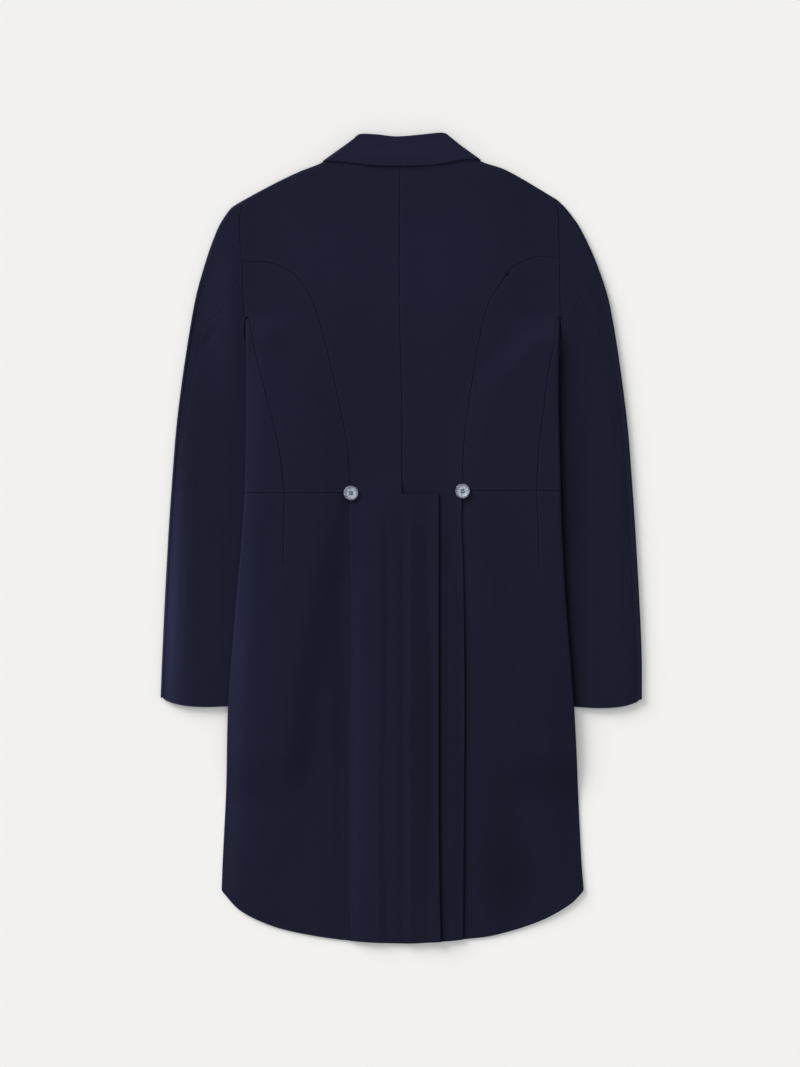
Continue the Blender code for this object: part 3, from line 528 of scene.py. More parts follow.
def ease(value, start, end):
    """From 0 at start to 1 at end, level at both."""
    share = np.clip((np.asarray(value, float) - start) / (end - start), 0, 1)
    return share * share * (3 - 2 * share)


def spread(count):
    """So many even shares from 0 to 1."""
    return np.linspace(0, 1, count)


def measured(points):
    """The length of each step along a line, and how far along it each of its points is."""
    steps = np.linalg.norm(np.diff(points, axis=0), axis=1)
    return steps, np.concatenate([[0], np.cumsum(steps)])


def path(points, at):
    """Points of a smooth curve through a few points, at shares of its length."""
    points = np.asarray(points, float)
    steps, length = measured(points)
    inner = (points[2:] - points[:-2]) / (length[2:] - length[:-2])[:, None]
    first = (points[1] - points[0]) / steps[0]
    last = (points[-1] - points[-2]) / steps[-1]
    slopes = np.vstack([first, inner, last])
    wanted = np.clip(np.asarray(at, float), 0, 1) * length[-1]
    span = np.clip(np.searchsorted(length, wanted, side="right") - 1, 0, len(steps) - 1)
    share = ((wanted - length[span]) / steps[span])[..., None]
    run = steps[span][..., None]
    return (
        (2 * share**3 - 3 * share**2 + 1) * points[span]
        + (share**3 - 2 * share**2 + share) * run * slopes[span]
        + (3 * share**2 - 2 * share**3) * points[span + 1]
        + (share**3 - share**2) * run * slopes[span + 1]
    )


def points_of(rows, side=None):
    """A table's points, of one side where it has both."""
    if side is None:
        return np.column_stack([rows["x"], rows["y"]])
    return np.column_stack([rows[side + "_x"], rows[side + "_y"]])


def drawn(rows, count, side=None):
    """Points evenly spaced on the smooth curve through a table's places."""
    return path(points_of(rows, side), spread(count))


def x_at(rows, y, side=None):
    """Where a table's curve that runs down the coat is at a level."""
    dense = drawn(rows, CURVE_SAMPLES, side)
    order = np.argsort(dense[:, 1])
    return np.interp(y, dense[order, 1], dense[order, 0])


def y_at(rows, x):
    """The level of a table's curve that runs across the coat."""
    dense = drawn(rows, CURVE_SAMPLES)
    return np.interp(x, dense[:, 0], dense[:, 1])


def waist_y(side):
    return WAIST_LEFT_Y if side == "left" else WAIST_RIGHT_Y


def sign(side):
    """Which way a side lies from the centre."""
    return -1 if side == "left" else 1


def finer(points):
    """A smooth curve through the points, with the same count of steps from each to the next."""
    points = np.asarray(points, float)
    lengths, run = measured(points)
    reach = run / lengths.sum()
    at = np.interp(np.arange(FINE * len(lengths) + 1) / FINE, np.arange(len(reach)), reach)
    return path(points, at)


def evened(points, count):
    """So many points evenly spaced along a line in space."""
    length = measured(points)[1]
    wanted = np.linspace(0, length[-1], count)
    return np.column_stack([np.interp(wanted, length, points[:, axis]) for axis in range(3)])


def over_sleeve(x, y):
    """1 where the body lies on a sleeve, 0 away from it."""
    down = ease(y, *SLEEVE_BELOW) * ease(y, *CUFF_BELOW)
    reach = np.abs(x_at(SLEEVE_INNER, y, "left"))
    return down * ease(np.abs(x) - reach, *SLEEVE_ACROSS)


def under_height(x, y, side):
    """The level of the front layer's outer face, which looks down."""
    on_sleeve = over_sleeve(x, y)
    lapel = LAPEL_ROOM * ease(np.abs(x), *LAPEL_ACROSS_AT) * ease(y, *LAPEL_ABOVE)
    away = np.hypot(x, np.asarray(y) - FRONT_BUTTON_Y)
    button = FRONT_BUTTON_ROOM * ease(away, *BUTTON_AROUND)
    height = SLEEVE_ROOM * on_sleeve + (1 - on_sleeve) * np.maximum(lapel, button)
    if side == "right":
        lapped = ease(y, *LAP_BELOW) * ease(y, *LAP_ABOVE)
        height = height + FRONT_LAP_ROOM * ease(x, *LAP_ACROSS) * lapped
    return height


def soft_lines(rows, x, y):
    """What soft bands add up to at a place, each fading at its ends and square to its line."""
    total = np.zeros(np.broadcast(x, y).shape)
    for start_x, start_y, end_x, end_y, half_width, amount in zip(*rows.values()):
        run = np.array([end_x - start_x, end_y - start_y])
        length = np.hypot(*run)
        run = run / length
        forward = (x - start_x) * run[0] + (y - start_y) * run[1]
        aside = (y - start_y) * run[0] - (x - start_x) * run[1]
        share = np.clip(forward / length, 0, 1)
        beyond = forward - share * length
        distance = np.hypot(aside, beyond)
        body = np.sin(math.pi * (SOFT_START + SOFT_RUN * share))
        total = total + amount * body * np.exp(-((distance / half_width) ** 2))
    return total


def painted_light_and_shade(node, x, y):
    """How much lighter or darker the cloth is painted at a place: painted light and shade in soft bands,
    and painted shadow beside the layers that stand up.
    """
    painted_tone = soft_lines(SLEEVE_PAINTED_LIGHT_AND_SHADE if "sleeve" in node else BODY_PAINTED_LIGHT_AND_SHADE, x, y)
    # Painted shadow on the right sleeve, beside the body's edge that stands up over it
    if node.endswith("sleeve_right"):
        beside = np.maximum(x - x_at(SIDE_EDGE, y, "right"), 0)
        painted_tone = painted_tone - SLEEVE_SHADE * np.exp(-beside / SLEEVE_SHADE_REACH) * ease(y, *SLEEVE_SHADE_BELOW)
    low = ease(y, *LOW_SHADE_BELOW)
    # Painted shadow on the right tail beside the vent's edge, darker and wider lower down
    if node == "back_right":
        beside = np.maximum(x - x_at(VENT_EDGE, y), 0)
        reach = VENT_SHADE_REACH * (1 + LOW_SHADE_SPREAD * low)
        strength = VENT_SHADE + LOW_SHADE * low
        painted_tone = painted_tone - strength * np.exp(-beside / reach) * ease(y, *VENT_SHADE_BELOW)
    # Painted shadow on the right skirt beside the right tail's edge
    if node == "skirt_right":
        beside = np.maximum(x - x_at(TAIL_EDGE, y, "right"), 0)
        painted_tone = painted_tone - VENT_SHADE * np.exp(-beside / VENT_SHADE_REACH) * ease(y, *PLEAT_SHADE_BELOW)
    return painted_tone


def side_droop(x, y):
    """How far the cloth drops towards the fold at its left side, below the underarm."""
    inward = x - x_at(SIDE_EDGE, y, "left")
    return SIDE_DROOP * ease(inward, SIDE_ROUND, 0.002) * ease(y, *DROOP_BELOW)


def top_height(x, y):
    """The level of the back layer's outer face, which looks up."""
    x, y = np.asarray(x, float), np.asarray(y, float)
    on_sleeve = over_sleeve(x, y)
    chest = CHEST_RISE * ease(np.abs(x), *CHEST_ACROSS) * ease(y, *CHEST_ABOVE)
    loft = HEM_LOFT + (BODY_LOFT - HEM_LOFT) * ease(y, *LOFT_ABOVE)
    full = loft + SLEEVE_ROOM * on_sleeve + (1 - on_sleeve) * chest
    inside = x_at(CUTAWAY, np.minimum(y, 0.03)) - np.abs(x)
    bare = BARE_DROP * ease(inside, *BARE_ACROSS) * ease(y, *BARE_BELOW)
    return full + (LAYER - full) * bare + soft_lines(BODY_CREASES, x, y) - side_droop(x, y)


def pleat_open(y):
    """0 at the waist, where the pleat is sewn, and 1 where it hangs free."""
    return ease(y, *PLEAT_BELOW)


def tail_rise(x, y, side, length=SHORT_RISE):
    """How far a tail stands up over the pleat's inner fold."""
    inward = (x - x_at(TAIL_EDGE, y, side)) * -sign(side)
    return LAYER * pleat_open(y) * ease(inward, PLEAT_DEPTH + length, PLEAT_DEPTH + 0.002)


def skirt_drop(x, y, side):
    """How far the skirt dips under the tail near the waist."""
    outward = (x - x_at(TAIL_EDGE, y, side)) * sign(side)
    return LAYER * (1 - pleat_open(y)) * ease(outward, *SKIRT_TUCK)


def pleat_lift(x, y, side):
    """How far a tail stands off the skirt a little way in from its edge, where it hangs free."""
    inward = (x - x_at(TAIL_EDGE, y, side)) * -sign(side)
    return PLEAT_LIFT * ease(inward, *LIFT_START) * ease(inward, *LIFT_END) * ease(y, *LIFT_BELOW)


def back_height(x, y, side):
    """The level of a half back's outer face, with its laps."""
    height = top_height(x, y) + pleat_lift(x, y, side)
    if side == "right":
        return height + tail_rise(x, y, "right")
    lap = ease(x, *CENTRE_LAP) * ease(y, *JOG_BELOW)
    over_right = np.where(np.asarray(x) > 0.0, tail_rise(x, y, "right", LONG_RISE), 0)
    return height + tail_rise(x, y, "left") + LAYER * lap + over_right


def skirt_height(x, y, side):
    """The level of a skirt's outer face."""
    return top_height(x, y) - skirt_drop(x, y, side)


def coons(top, bottom, first, last):
    """A plan grid between four edges, whose rows run from the first edge to the last."""
    rows, columns = len(first), len(top)
    down = spread(rows)[:, None, None]
    along = spread(columns)[None, :, None]
    ruled_rows = first[:, None] * (1 - along) + last[:, None] * along
    ruled_columns = top[None] * (1 - down) + bottom[None] * down
    corners = (
        top[0] * (1 - down) * (1 - along)
        + top[-1] * (1 - down) * along
        + bottom[0] * down * (1 - along)
        + bottom[-1] * down * along
    )
    return ruled_rows + ruled_columns - corners


def raised(plan, height, *more):
    """A plan grid lifted to a height function."""
    return np.dstack([plan, height(plan[..., 0], plan[..., 1], *more)])


def fold(base, outward, high, low):
    """Columns round a folded edge, from its upper level to its lower one, both left out."""
    base, outward = np.asarray(base), np.asarray(outward)
    high, low = np.asarray(high), np.asarray(low)
    radius = (high - low) / 2
    columns = []
    for step in range(1, FOLD_STEPS):
        turn = math.pi * step / FOLD_STEPS
        plan = base + outward * (radius * math.sin(turn))[..., None]
        level = (high + low) / 2 + radius * math.cos(turn)
        columns.append(np.concatenate([plan, level[..., None]], axis=-1))
    return np.stack(columns, axis=-2)


def unit(vectors):
    vectors = np.asarray(vectors, float)
    return vectors / np.maximum(np.linalg.norm(vectors, axis=-1, keepdims=True), 1e-12)


def normals(points, turn):
    """Level unit vectors square to a curve, to its left for 1 and its right for -1."""
    along = unit(np.gradient(points, axis=0))
    return turn * np.column_stack([-along[:, 1], along[:, 0]])


def missing(rows, columns):
    """A part of a grid without cloth."""
    return np.full((rows, columns, 3), np.nan)


def shifted(grid, axis, step):
    """The grid's own neighbours along an axis, with nothing past its ends."""
    moved = np.full_like(grid, np.nan)
    source, target = [slice(None)] * 3, [slice(None)] * 3
    source[axis] = slice(1, None) if step > 0 else slice(None, -1)
    target[axis] = slice(None, -1) if step > 0 else slice(1, None)
    moved[tuple(target)] = grid[tuple(source)]
    return moved


def free_side(grid, axis, step):
    """Where the cloth ends on one side of a point and goes on at the other."""
    beyond, inner = shifted(grid, axis, step), shifted(grid, axis, -step)
    return np.isnan(beyond[..., 0]) & ~np.isnan(inner[..., 0]) & ~np.isnan(grid[..., 0]), inner


def inset(grid, gap):
    """The grid with every free edge drawn in by half a seam's gap, or less where rows are close."""
    drawn = grid.copy()
    for axis in (0, 1):
        before, after = shifted(grid, 1 - axis, -1), shifted(grid, 1 - axis, 1)
        before = np.where(np.isnan(before), grid, before)
        after = np.where(np.isnan(after), grid, after)
        edge = unit(after - before)
        for step in (-1, 1):
            free, inner = free_side(grid, axis, step)
            room = np.linalg.norm(inner - grid, axis=-1, keepdims=True)
            inward = unit(inner - grid)
            square = inward - edge * (inward * edge).sum(-1, keepdims=True)
            step_in = gap / np.maximum(np.linalg.norm(square, axis=-1, keepdims=True), LEAST_SQUARE)
            move = inward * np.minimum(step_in, MOST_ROOM * room)
            drawn[free] += move[free]
    return drawn


def edge_rows(grid):
    """The grid with close rows put in along its free edges, to round them off."""
    for axis in (0, 1):
        rows = np.moveaxis(grid, axis, 0)
        starts = [index for index in range(len(rows)) if free_side(rows, 0, -1)[0][index].any()]
        ends = [index for index in range(len(rows)) if free_side(rows, 0, 1)[0][index].any()]
        made = []
        for index in range(len(rows)):
            made.append(rows[index])
            if index == len(rows) - 1:
                continue
            run = rows[index + 1] - rows[index]
            length = np.maximum(np.linalg.norm(run, axis=-1, keepdims=True), 1e-9)
            at_start, at_end = index in starts, index + 1 in ends
            crowd = len(EDGE_STEPS) + 1
            most = 0.5 if at_start and at_end else 1.0
            if at_start:
                for count, step in enumerate(EDGE_STEPS, 1):
                    made.append(rows[index] + run * np.minimum(step / length, most * count / crowd))
            if at_end:
                for count, step in reversed(list(enumerate(EDGE_STEPS, 1))):
                    share = np.minimum(step / length, most * count / crowd)
                    made.append(rows[index + 1] - run * share)
        grid = np.moveaxis(np.stack(made), 0, axis)
    return grid


def point_values(mesh, what):
    """A mesh's places or normals, with a row for each point."""
    values = np.empty(len(mesh.vertices) * 3)
    mesh.vertices.foreach_get(what, values)
    return values.reshape(-1, 3)


def keep_on(mesh, name, values):
    """Keeps a number on each of a mesh's points."""
    mesh.attributes.new(name, "FLOAT", "POINT").data.foreach_set("value", values)


def new_object(name, data):
    """An object in the scene, on its data."""
    made = bpy.data.objects.new(name, data)
    bpy.context.scene.collection.objects.link(made)
    return made


def finished_mesh(holder):
    """The mesh that an object's modifiers make of it."""
    graph = bpy.context.evaluated_depsgraph_get()
    return bpy.data.meshes.new_from_object(holder.evaluated_get(graph), depsgraph=graph)


def press_edges(mesh, free, depth, width, dart, sharp):
    """Rolls the cloth down along its edges and its dart, and keeps how near each point is to one."""
    points, outward = point_values(mesh, "co"), point_values(mesh, "normal")
    tree = KDTree(int(free.sum()))
    for index in np.nonzero(free)[0]:
        tree.insert(points[index], int(index))
    tree.balance()
    near = np.array([tree.find(point)[2] for point in points])
    if dart:
        near = np.minimum(near, dart_reach(dart, points, outward))
    drop = sharp * depth * np.clip(1 - near / width, 0, 1) ** 2
    mesh.vertices.foreach_set("co", (points - outward * drop[:, None]).ravel())
    # How near an edge is, kept for the pressed shine and for the painted shade down in a seam
    keep_on(mesh, "pressed", sharp * np.exp(-near / PRESSED_REACH))
    mesh.update()


def baked(piece):
    """The piece with its modifiers applied and its place in its mesh."""
    mesh = finished_mesh(piece)
    mesh.transform(piece.matrix_world)
    name = mesh.name = piece.name
    bpy.data.objects.remove(piece, do_unlink=True)
    return new_object(name, mesh)


def cloth_piece(node, grid, grain=0.0, first_up=True, dart=None, sharp=1.0):
    """A shell of cloth: the grid is its outer face, which looks up where its last row starts."""
    settings = bpy.context.scene.coat_cloth
    start = int(np.argmin(np.isnan(grid[-1, :, 0])))
    down = grid[-1, start] - grid[-2, start]
    across = grid[-1, start + 1] - grid[-1, start]
    up = (np.cross(down, across)[2] > 0) == first_up
    grid = edge_rows(inset(grid, settings.seam_gap / 2))
    there = ~np.isnan(grid[..., 0])
    number = np.cumsum(there).reshape(there.shape) - 1
    whole = there[:-1, :-1] & there[1:, :-1] & there[1:, 1:] & there[:-1, 1:]
    corners = [number[:-1, :-1], number[1:, :-1], number[1:, 1:], number[:-1, 1:]]
    faces = np.stack([corner[whole] for corner in corners], axis=1)
    faces = faces if up else faces[:, ::-1]
    ends = np.zeros(there.shape, bool)
    for axis in (0, 1):
        for step in (-1, 1):
            ends |= free_side(grid, axis, step)[0]
    points = grid[there]
    mesh = bpy.data.meshes.new(node + "_cloth")
    mesh.from_pydata(points.tolist(), [], faces.tolist())
    mesh.update()
    mesh.shade_smooth()
    threads = mesh.uv_layers.new(name="grain")
    turned = np.column_stack(
        [
            points[:, 0] * math.cos(grain) + points[:, 1] * math.sin(grain),
            points[:, 1] * math.cos(grain) - points[:, 0] * math.sin(grain),
        ]
    )
    loops = np.empty(len(mesh.loops), np.int64)
    mesh.loops.foreach_get("vertex_index", loops)
    threads.data.foreach_set("uv", turned[loops].ravel())
    # Painted light and shade, kept on the points that face up
    on_top = ease(point_values(mesh, "normal")[:, 2], *UPPER_SIDE)
    keep_on(mesh, "painted_light_and_shade", painted_light_and_shade(node, points[:, 0], points[:, 1]) * on_top)
    press_edges(mesh, ends[there], settings.edge_depth, settings.edge_width, dart, sharp)
    mesh.materials.append(wool())
    piece = new_object(node + "_cloth", mesh)
    piece.location = (0, -MIDDLE_Y, 0)
    wall = piece.modifiers.new("Cloth", "SOLIDIFY")
    wall.thickness = settings.thickness
    wall.offset = -1
    wall.use_rim = True
    piece = baked(piece)
    piece.data.set_sharp_from_angle(angle=FOLD_SHARP)
    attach(piece, "root")
    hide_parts(node)


def shoulder_base(side):
    """The line where the shoulder's fold starts, its outward directions and the fold's levels."""
    edge = drawn(SHOULDER, SHOULDER_STEPS + 1, side)
    out = normals(edge, sign(side))
    turn = ease(spread(SHOULDER_STEPS + 1), *SHOULDER_END)[:, None]
    out = unit(out + turn * SHOULDER_LEAN * np.array([sign(side), 0]))
    high = top_height(edge[:, 0], edge[:, 1])
    low = under_height(edge[:, 0], edge[:, 1], "left")
    base = edge - out * ((high - low) / 2)[:, None]
    return base, out, high, low


def armhole(side):
    """The armhole seam, from the shoulder to the underarm, with the fold's room at its top."""
    seam = points_of(ARMHOLE, side)
    seam[0] = shoulder_base(side)[0][-1]
    return finer(seam)


def shoulder_seam(side):
    """Where the back ends, a little way in under the shoulder."""
    base, out, _, _ = shoulder_base(side)
    seam = base - out * TURN_IN
    run = armhole(side)
    near_end = ease(spread(SHOULDER_STEPS + 1), *SHOULDER_END)[:, None]
    corner = run[0] + unit(run[FINE] - run[0]) * TURN_IN
    return seam + near_end * (corner - seam[-1])


def neck_line(side):
    """The back's neck edge, from the centre seam to the shoulder."""
    base = shoulder_base(side)[0][0]
    middle = points_of(CENTRE_SEAM)[0]
    inner = [middle + np.array([share * (base[0] - middle[0]), rise]) for share, rise in NECK_PLACES]
    return path([middle, *inner, base], spread(NECK_STEPS + 1))


def curved_seam(side):
    """The seam between back and side body, in its level part and its falling part."""
    seam = points_of(CURVED_SEAM, side)
    steps = measured(seam)[0]
    split = steps[:CURVED_LEVEL].sum() / steps.sum()
    level = path(seam, np.linspace(0, split, CURVE_TOP + 1))
    falling = path(seam, np.linspace(split, 1, CURVE_DOWN + 1))
    return level, falling


def pleat_line(side, y):
    """Where the inner fold under a tail ends: on the right tail, at the vent's edge."""
    if side == "right":
        return x_at(VENT_EDGE, y)
    return x_at(TAIL_EDGE, y, "left") + PLEAT_DEPTH


def tail_x(side, level, where):
    """A place across a tail: 0 at the centre, 1 at the pleat's line and 2 at the tail's edge."""
    centre = x_at(CENTRE_SEAM, level)
    line = pleat_line(side, level)
    edge = x_at(TAIL_EDGE, level, side)
    inner = centre + (line - centre) * where
    return np.where(where <= 1, inner, line + (edge - line) * (where - 1))


def tail_plan(side):
    """The plan of a tail from the waist down, each column reaching the hem."""
    inner = spread(NECK_STEPS + 2)
    where = np.concatenate([inner, np.linspace(1, 2, PLEAT_STEPS + 1)[1:]])
    share = spread(TAIL_DOWN + 1)[:, None]
    top = JOG_Y + (waist_y(side) - JOG_Y) * np.clip(where - 1, 0, 1)
    level = top + 0 * share
    for _ in range(4):
        x = tail_x(side, level, where)
        level = top + (y_at(HEM, x) - top) * share
    return np.dstack([tail_x(side, level, where), level])


def back(side):
    """Half of the back in one cut with its tail; the left half also has the vent's top lap."""
    level, falling = curved_seam(side)
    seam = armhole(side)
    outer = np.vstack([seam[: ARMHOLE_CURVED * FINE + 1], level[1:], falling[1:]])
    top = np.vstack([neck_line(side), shoulder_base(side)[0][1:]])
    steps, run = measured(outer)
    share = run / steps.sum()
    middle_y = top[0][1] + (JOG_Y - top[0][1]) * share
    centre = np.column_stack([x_at(CENTRE_SEAM, middle_y), middle_y])
    tail = tail_plan(side)
    plan = np.concatenate([coons(top, tail[0], centre, outer), tail[1:]])
    main = raised(plan, back_height, side)
    base, out, high, low = shoulder_base(side)
    arc = fold(base, out, high, low)
    turned = shoulder_seam(side)
    turned = np.column_stack([turned, under_height(turned[:, 0], turned[:, 1], "left")])
    rolled = [turned, np.column_stack([base, low])]
    rolled += [arc[:, step] for step in range(FOLD_STEPS - 2, -1, -1)]
    rows = [np.concatenate([missing(1, NECK_STEPS)[0], row]) for row in rolled]
    grid = np.concatenate([np.stack(rows), main])
    if side == "left":
        lap = raised(tail_plan("right")[:, 1 : NECK_STEPS + 2][:, ::-1], back_height, "right")
        to_edge = ease(lap[..., 0], *VENT_START) * (1 - VENT_FALL * ease(lap[..., 0], *VENT_END))
        to_edge *= ease(lap[..., 1], *VENT_BELOW)
        lap[..., 2] += LAYER + VENT_LIFT * to_edge
        above = missing(grid.shape[0] - lap.shape[0], lap.shape[1])
        grid = np.concatenate([np.concatenate([above, lap]), grid], axis=1)
    cloth_piece("back_" + side, grid)


def underarm(side):
    """The seam between the side body and the forepart."""
    return drawn(UNDERARM_SEAM, UNDERARM_STEPS + 1, side)


def side_body(side):
    """The panel between the back, the armhole and the waist."""
    level, inner = curved_seam(side)
    outer = np.vstack([armhole(side)[ARMHOLE_CURVED * FINE :], underarm(side)])
    bottom = np.linspace(outer[-1], inner[-1], CURVE_TOP + 1)
    plan = coons(level, bottom, along(outer, len(inner)), inner)
    cloth_piece("side_body_" + side, raised(plan, top_height))


def side_base(side, y):
    """Where the side's fold starts, with the fold's levels."""
    edge = x_at(SIDE_EDGE, y, side)
    high = top_height(edge, y)
    low = under_height(edge, y, side)
    return edge - sign(side) * (high - low) / 2, high, low


def roll_line(side):
    """The lapel's fold line, set in by its radius, from the collar to the break."""
    turn = sign(side)
    start = (turn * (COLLAR_FRONT_ROLL[0] - LAPEL_INWARD), COLLAR_FRONT_ROLL[1] - LAPEL_DOWN)
    end = (FRONT_LAP, BREAK_Y) if side == "left" else RIGHT_BREAK
    line = np.array([start, end])
    line[:, 0] += turn * (LAPEL_ROOM + CLOTH) / 2
    return line


def front_line(side):
    """The forepart's inner edge: roll line, then the plain front edge to the waist."""
    line = [*(roll_line(side) + (sign(side) * TURN_IN, 0))]
    if side == "right":
        line.append((-FRONT_LAP, BREAK_Y))
    line.append((-sign(side) * FRONT_LAP, waist_y(side)))
    return np.array(line)


def along(points, count):
    """Points about evenly spaced on a run of straight lines, with one on each of its corners."""
    points = np.asarray(points, float)
    length = measured(points)[1]
    wanted = np.linspace(0, length[-1], count)
    if len(points) < count / 4:
        for corner in length[1:-1]:
            wanted[np.argmin(np.abs(wanted - corner))] = corner
    return np.column_stack([np.interp(wanted, length, points[:, axis]) for axis in (0, 1)])


def forepart(side):
    """The front above the waist, from its strip on the back's side round the fold to its edge."""
    turn = sign(side)
    seam = underarm(side)
    base_x, high, low = side_base(side, seam[:, 1])
    base = np.column_stack([base_x, seam[:, 1]])
    shoulder = shoulder_seam(side)[::-1]
    outer = np.vstack([shoulder[:1], armhole(side)[2:-1], base])
    inner = along(front_line(side), len(outer))
    gorge = (turn * GORGE[0], GORGE[1])
    neck = along([shoulder[-1], gorge, inner[0]], NECK_STEPS)[1:]
    top = np.vstack([shoulder, neck])
    bottom = np.linspace(outer[-1], inner[-1], len(top))
    front = raised(coons(top, bottom, outer, inner), under_height, side)
    shares = spread(12)
    strip_plan = np.stack([seam + (base - seam) * share for share in shares], axis=1)
    strip = raised(strip_plan, top_height)
    strip[:, -1, 2] = high
    rolled = fold(base, [turn, 0.0], high, low)
    side_part = np.concatenate([strip, rolled], axis=1)
    above = missing(len(outer) - len(side_part), side_part.shape[1])
    grid = np.concatenate([np.concatenate([above, side_part]), front], axis=1)
    cloth_piece("forepart_" + side, grid)


def skirt_x(side, level, across):
    """A place across a skirt's top: 0 at the tail, 1 where the side's fold starts, the dart between."""
    seam = x_at(TAIL_EDGE, level, side)
    reach = side_base(side, level)[0] - seam
    dart = (x_at(DART, np.maximum(level, DART_END), side) - seam) / reach
    beyond = dart + (1 - dart) * (across - DART_SHARE) / (1 - DART_SHARE)
    return seam + reach * np.where(across <= DART_SHARE, dart * across / DART_SHARE, beyond)


def dart_reach(side, points, outward):
    """How far points are from a skirt's dart, which fades out at its lower end."""
    away = np.abs(points[:, 0] - x_at(DART, points[:, 1], side))
    fade = ease(points[:, 1], DART_END + 2 * DART_FADE, DART_END)
    return away + DART_FADE * (fade + (outward[:, 2] < 0.5))


def skirt(side):
    """The skirt, from the pleat's underlay below the tail round the side's fold to the front."""
    turn = sign(side)
    down = spread(TAIL_DOWN + 1)[:, None]
    underlay = raised(tail_plan(side)[:, NECK_STEPS + 1 :], back_height, side)
    underlay[..., 2] -= LAYER
    start_y = waist_y(side)
    close = [DART_SHARE + way * step for way in (-1, 1) for step in DART_STEPS]
    across = np.unique(np.concatenate([spread(SKIRT_ACROSS + 1), [DART_SHARE], close]))
    level = start_y + 0 * (down + across)
    for _ in range(5):
        x = skirt_x(side, level, across)
        level = start_y + (y_at(HEM, x) - start_y) * down
    x = skirt_x(side, level, across)
    top = np.dstack([x, level, skirt_height(x, level, side)])
    levels = top[:, -1, 1]
    base_x, high, low = side_base(side, levels)
    top[:, -1, 2] = high
    base = np.column_stack([base_x, levels])
    rolled = fold(base, [turn, 0.0], high, low)
    across = spread(SKIRT_ACROSS // 2)
    end_x = -turn * FRONT_LAP
    low_x = base_x[-1] + 0 * across
    for _ in range(6):
        reach = low_x + (end_x - low_x) * across
        low_y = np.maximum(y_at(CUTAWAY, turn * reach), HEM_CORNER_Y)
        low_x = side_base(side, low_y)[0]
    level = start_y + (low_y - start_y) * down
    edge = side_base(side, level)[0]
    x = edge + (end_x - edge) * across
    front = np.dstack([x, level, under_height(x, level, side)])
    turned = math.pi * np.arange(1, FOLD_STEPS) / FOLD_STEPS
    ends = np.where(turned <= math.pi / 2, levels[-1], low_y[0])
    ends = ends + (HEM_CORNER_Y - ends) * np.sin(turned)
    rolled[..., 1] += (ends - levels[-1]) * down
    grid = np.concatenate([underlay[:, :-1], top, rolled, front], axis=1)
    cloth_piece("skirt_" + side, grid, dart=side)


def hindarm_share(start, end, seam):
    """How far in along a ring's upper line the hindarm seam crosses it, or 0 where it does not."""
    across = end - start
    aside = across[0] * (seam[:, 1] - start[1]) - across[1] * (seam[:, 0] - start[0])
    turns = np.nonzero(np.diff(np.sign(aside)))[0]
    if not len(turns):
        return 0.0
    first, last = aside[turns[0]], aside[turns[0] + 1]
    part = first / (first - last)
    found = seam[turns[0]] * (1 - part) + seam[turns[0] + 1] * part - start
    return float(np.dot(found, across) / np.dot(across, across))


def at_share(points, share):
    """A place on a closely sampled curve, between its points."""
    place = share * (len(points) - 1)
    index = min(int(place), len(points) - 2)
    return points[index] + (points[index + 1] - points[index]) * (place - index)


def sleeve_relief(x, y, side):
    """The soft creases on a sleeve, faded out where the body lies on it."""
    edge = x_at(SIDE_EDGE, y, side)
    clear = ease((x - edge) * sign(side), *RELIEF_ACROSS) * ease(y, *RELIEF_ABOVE)
    outer = np.abs(x_at(SLEEVE_OUTER, y, side)) - np.abs(x)
    droop = SIDE_DROOP * ease(outer, SIDE_ROUND, 0.003) * ease(y, *SLEEVE_DROOP_BELOW)
    return soft_lines(SLEEVE_CREASES[side], x, y) * clear - droop


